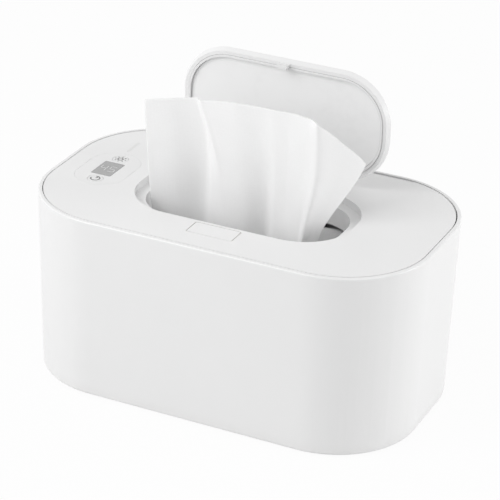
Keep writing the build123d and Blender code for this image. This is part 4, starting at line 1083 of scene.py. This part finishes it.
# %% [markdown]
# ## The crossed screws
#
# The screws have pan heads with a cross recess. The plain screws of the engineering model
# are merged and rounded like the mouldings, and the cross is cut with two tapered bars
# over each head: first all the bars that lie along X, and then all that lie along Y.

# %% Cut the cross recesses
CROSS_LENGTH = 0.62         # shares of the head's width
CROSS_WIDTH = 0.15
CROSS_DEPTH = 0.9 * MM
HEAD_FLAT = 0.02 * MM       # faces this near to the outermost one are the tops of heads
HEAD_REACH = 5 * MM         # faces nearer to each other than this belong to one head


def tapered_bar(middle, length, width, facing):
    """A bar that narrows as it goes into the head."""
    deselect()
    bpy.ops.mesh.primitive_cube_add(size=1.0, location=(0, 0, 0))
    piece = bpy.context.active_object
    with editing():
        bpy.ops.transform.resize(value=(length, width, CROSS_DEPTH * 2))
        bpy.ops.mesh.select_all(action="DESELECT")
    for face in piece.data.polygons:
        face.select = face.normal.z * facing < -0.9
    with editing():
        bpy.ops.transform.resize(value=(0.5, 0.5, 1.0))
    piece.data.transform(Matrix.Translation(middle))
    return piece


def head_flats(screws, facing):
    """For each head: the sum of centre times area over its flat faces, and their area."""
    outermost = max(face.center.z * facing for face in screws.data.polygons)
    heads = []
    for face in screws.data.polygons:
        if face.center.z * facing < outermost - HEAD_FLAT or abs(face.normal.z) < 0.9:
            continue
        for head in heads:
            if (head[0] / head[1] - face.center).length < HEAD_REACH:
                head[0] += face.center * face.area
                head[1] += face.area
                break
        else:
            heads.append([face.center * face.area, face.area])
    return heads


def crossed_screws(node, name, facing):
    """Screws with a cross recess in each head. facing is 1 for heads up and -1 for down."""
    screws = moulding(node, name, steel, edge=0.15 * MM)
    heads = head_flats(screws, facing)
    for along_x in (True, False):
        bars = []
        for moment, area in heads:
            width = math.sqrt(area / math.pi) * 2
            sides = (width * CROSS_LENGTH, width * CROSS_WIDTH)
            bars.append(tapered_bar(moment / area, *(sides if along_x else sides[::-1]), facing))
        cutter = merged(bars)
        apply_modifier(screws, "BOOLEAN", object=cutter, operation="DIFFERENCE", solver="EXACT")
        bpy.data.objects.remove(cutter)
    activate(screws)
    bpy.ops.object.shade_smooth_by_angle(angle=SMOOTH_UP_TO)
    print(name, "has", len(heads), "heads")


crossed_screws("base_screws", "base_screw_heads", -1)
crossed_screws("tank_screws", "tub_screw_heads", 1)
crossed_screws("under_plate_screws", "plate_screw_heads", -1)

# %% [markdown]
# ## The latch spring
#
# A small steel coil pushes the latch bolt back. When the button is pressed, the bolt comes forward
# and the coil gets shorter by as much, while its front end stays where it is. Here the coil is the
# merged CAD one, in steel.

# %% The latch spring
latch_coil = moulding("latch_spring", "latch_coil", steel, edge=0)
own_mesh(latch_coil)

# %% [markdown]
# ## Studio
#
# The photograph has no floor line and almost no shadow: a white sweep. Here the floor is
# pale, and the camera sees it nearly white, while it still gives the object its soft
# contact shadow. The air gives most of the light, and a few lamps give the rest.

# %% Air
scene = bpy.context.scene
scene.view_settings.view_transform = "Standard"
AIR = 0.66


def seen(tree):
    """1 for rays that look at the background, straight or mirrored, and 0 for light."""
    path = tree.nodes.new("ShaderNodeLightPath")
    total = path.outputs["Is Camera Ray"]
    for kind in ("Is Glossy Ray", "Is Transmission Ray"):
        most = tree.nodes.new("ShaderNodeMath")
        most.operation = "MAXIMUM"
        tree.links.new(total, most.inputs[0])
        tree.links.new(path.outputs[kind], most.inputs[1])
        total = most.outputs[0]
    return total


def lit_or_seen(tree, share, lit, looked_at, ending):
    """One shader for light and one for the eye, mixed by a share, at the tree's end."""
    choice = tree.nodes.new("ShaderNodeMixShader")
    tree.links.new(share, choice.inputs[0])
    tree.links.new(lit.outputs[0], choice.inputs[1])
    tree.links.new(looked_at.outputs[0], choice.inputs[2])
    tree.links.new(choice.outputs[0], tree.nodes.new(ending).inputs["Surface"])


world = bpy.data.worlds.new("studio_air")
world.use_nodes = True
scene.world = world
tree = world.node_tree
tree.nodes.clear()
air = tree.nodes.new("ShaderNodeBackground")
paper = tree.nodes.new("ShaderNodeBackground")
for background, strength in ((air, AIR), (paper, 1.0)):
    background.inputs["Color"].default_value = (1, 1, 1, 1)
    background.inputs["Strength"].default_value = strength
lit_or_seen(tree, seen(tree), air, paper, "ShaderNodeOutputWorld")

# %% [markdown]
# ### The floor
#
# A matt paper sweep. Light meets it as paper, but the camera sees nearly all of it as
# plain white, and only a small share of the shaded paper.

# %% The floor
FLOOR_SHOWS = 0.05
FLOOR_TONE = 0.74
FLOOR_SIZE = 6.0
deselect()
bpy.ops.mesh.primitive_plane_add(size=FLOOR_SIZE, location=(0, 0, -0.1 * MM))
floor = bpy.context.active_object
floor.name = "floor"
sweep = bpy.data.materials.new("sweep_paper")
sweep.use_nodes = True
tree = sweep.node_tree
tree.nodes.clear()
matt = tree.nodes.new("ShaderNodeBsdfDiffuse")
matt.inputs["Color"].default_value = grey(FLOOR_TONE)
white = tree.nodes.new("ShaderNodeEmission")
white.inputs["Strength"].default_value = 1.0
share = tree.nodes.new("ShaderNodeMath")
share.operation = "MULTIPLY"
share.inputs[1].default_value = 1 - FLOOR_SHOWS
tree.links.new(seen(tree), share.inputs[0])
lit_or_seen(tree, share.outputs[0], matt, white, "ShaderNodeOutputMaterial")
floor.data.materials.append(sweep)

# %% [markdown]
# ### The lamps
#
# Two broad lamps stand at the front left. The high one lights the top, and the middle one
# brings out the folds of the wipe. The third stands low at the right and lights the end
# wall. The round corner between them faces no lamp, so it is the darkest band of the wall,
# as it is in the photograph.

# %% The lamps
LAMP_DISTANCE = 1.6
LAMP_AIM = Vector((0, 0, 0.08))


def softbox(name, toward, side, watts):
    """A square lamp that faces the object from a direction."""
    data = bpy.data.lights.new(name, "AREA")
    data.shape = "SQUARE"
    data.size = side
    data.energy = watts
    lamp = placed(name, data)
    back = Vector(toward).normalized()
    lamp.matrix_world = (Matrix.Translation(LAMP_AIM + back * LAMP_DISTANCE)
                         @ back.to_track_quat("Z", "Y").to_matrix().to_4x4())
    share = watts / (math.pi * LAMP_DISTANCE) ** 2
    print(name, "gives", round(share, 2), "of white where it faces")


softbox("lamp_high_left", (-0.454, -0.541, 0.707), 0.8, 6.8)
softbox("lamp_middle_left", (-0.58, -0.70, 0.42), 0.8, 4.8)
softbox("lamp_low_right", (0.95, 0.30, 0.13), 0.6, 9.4)
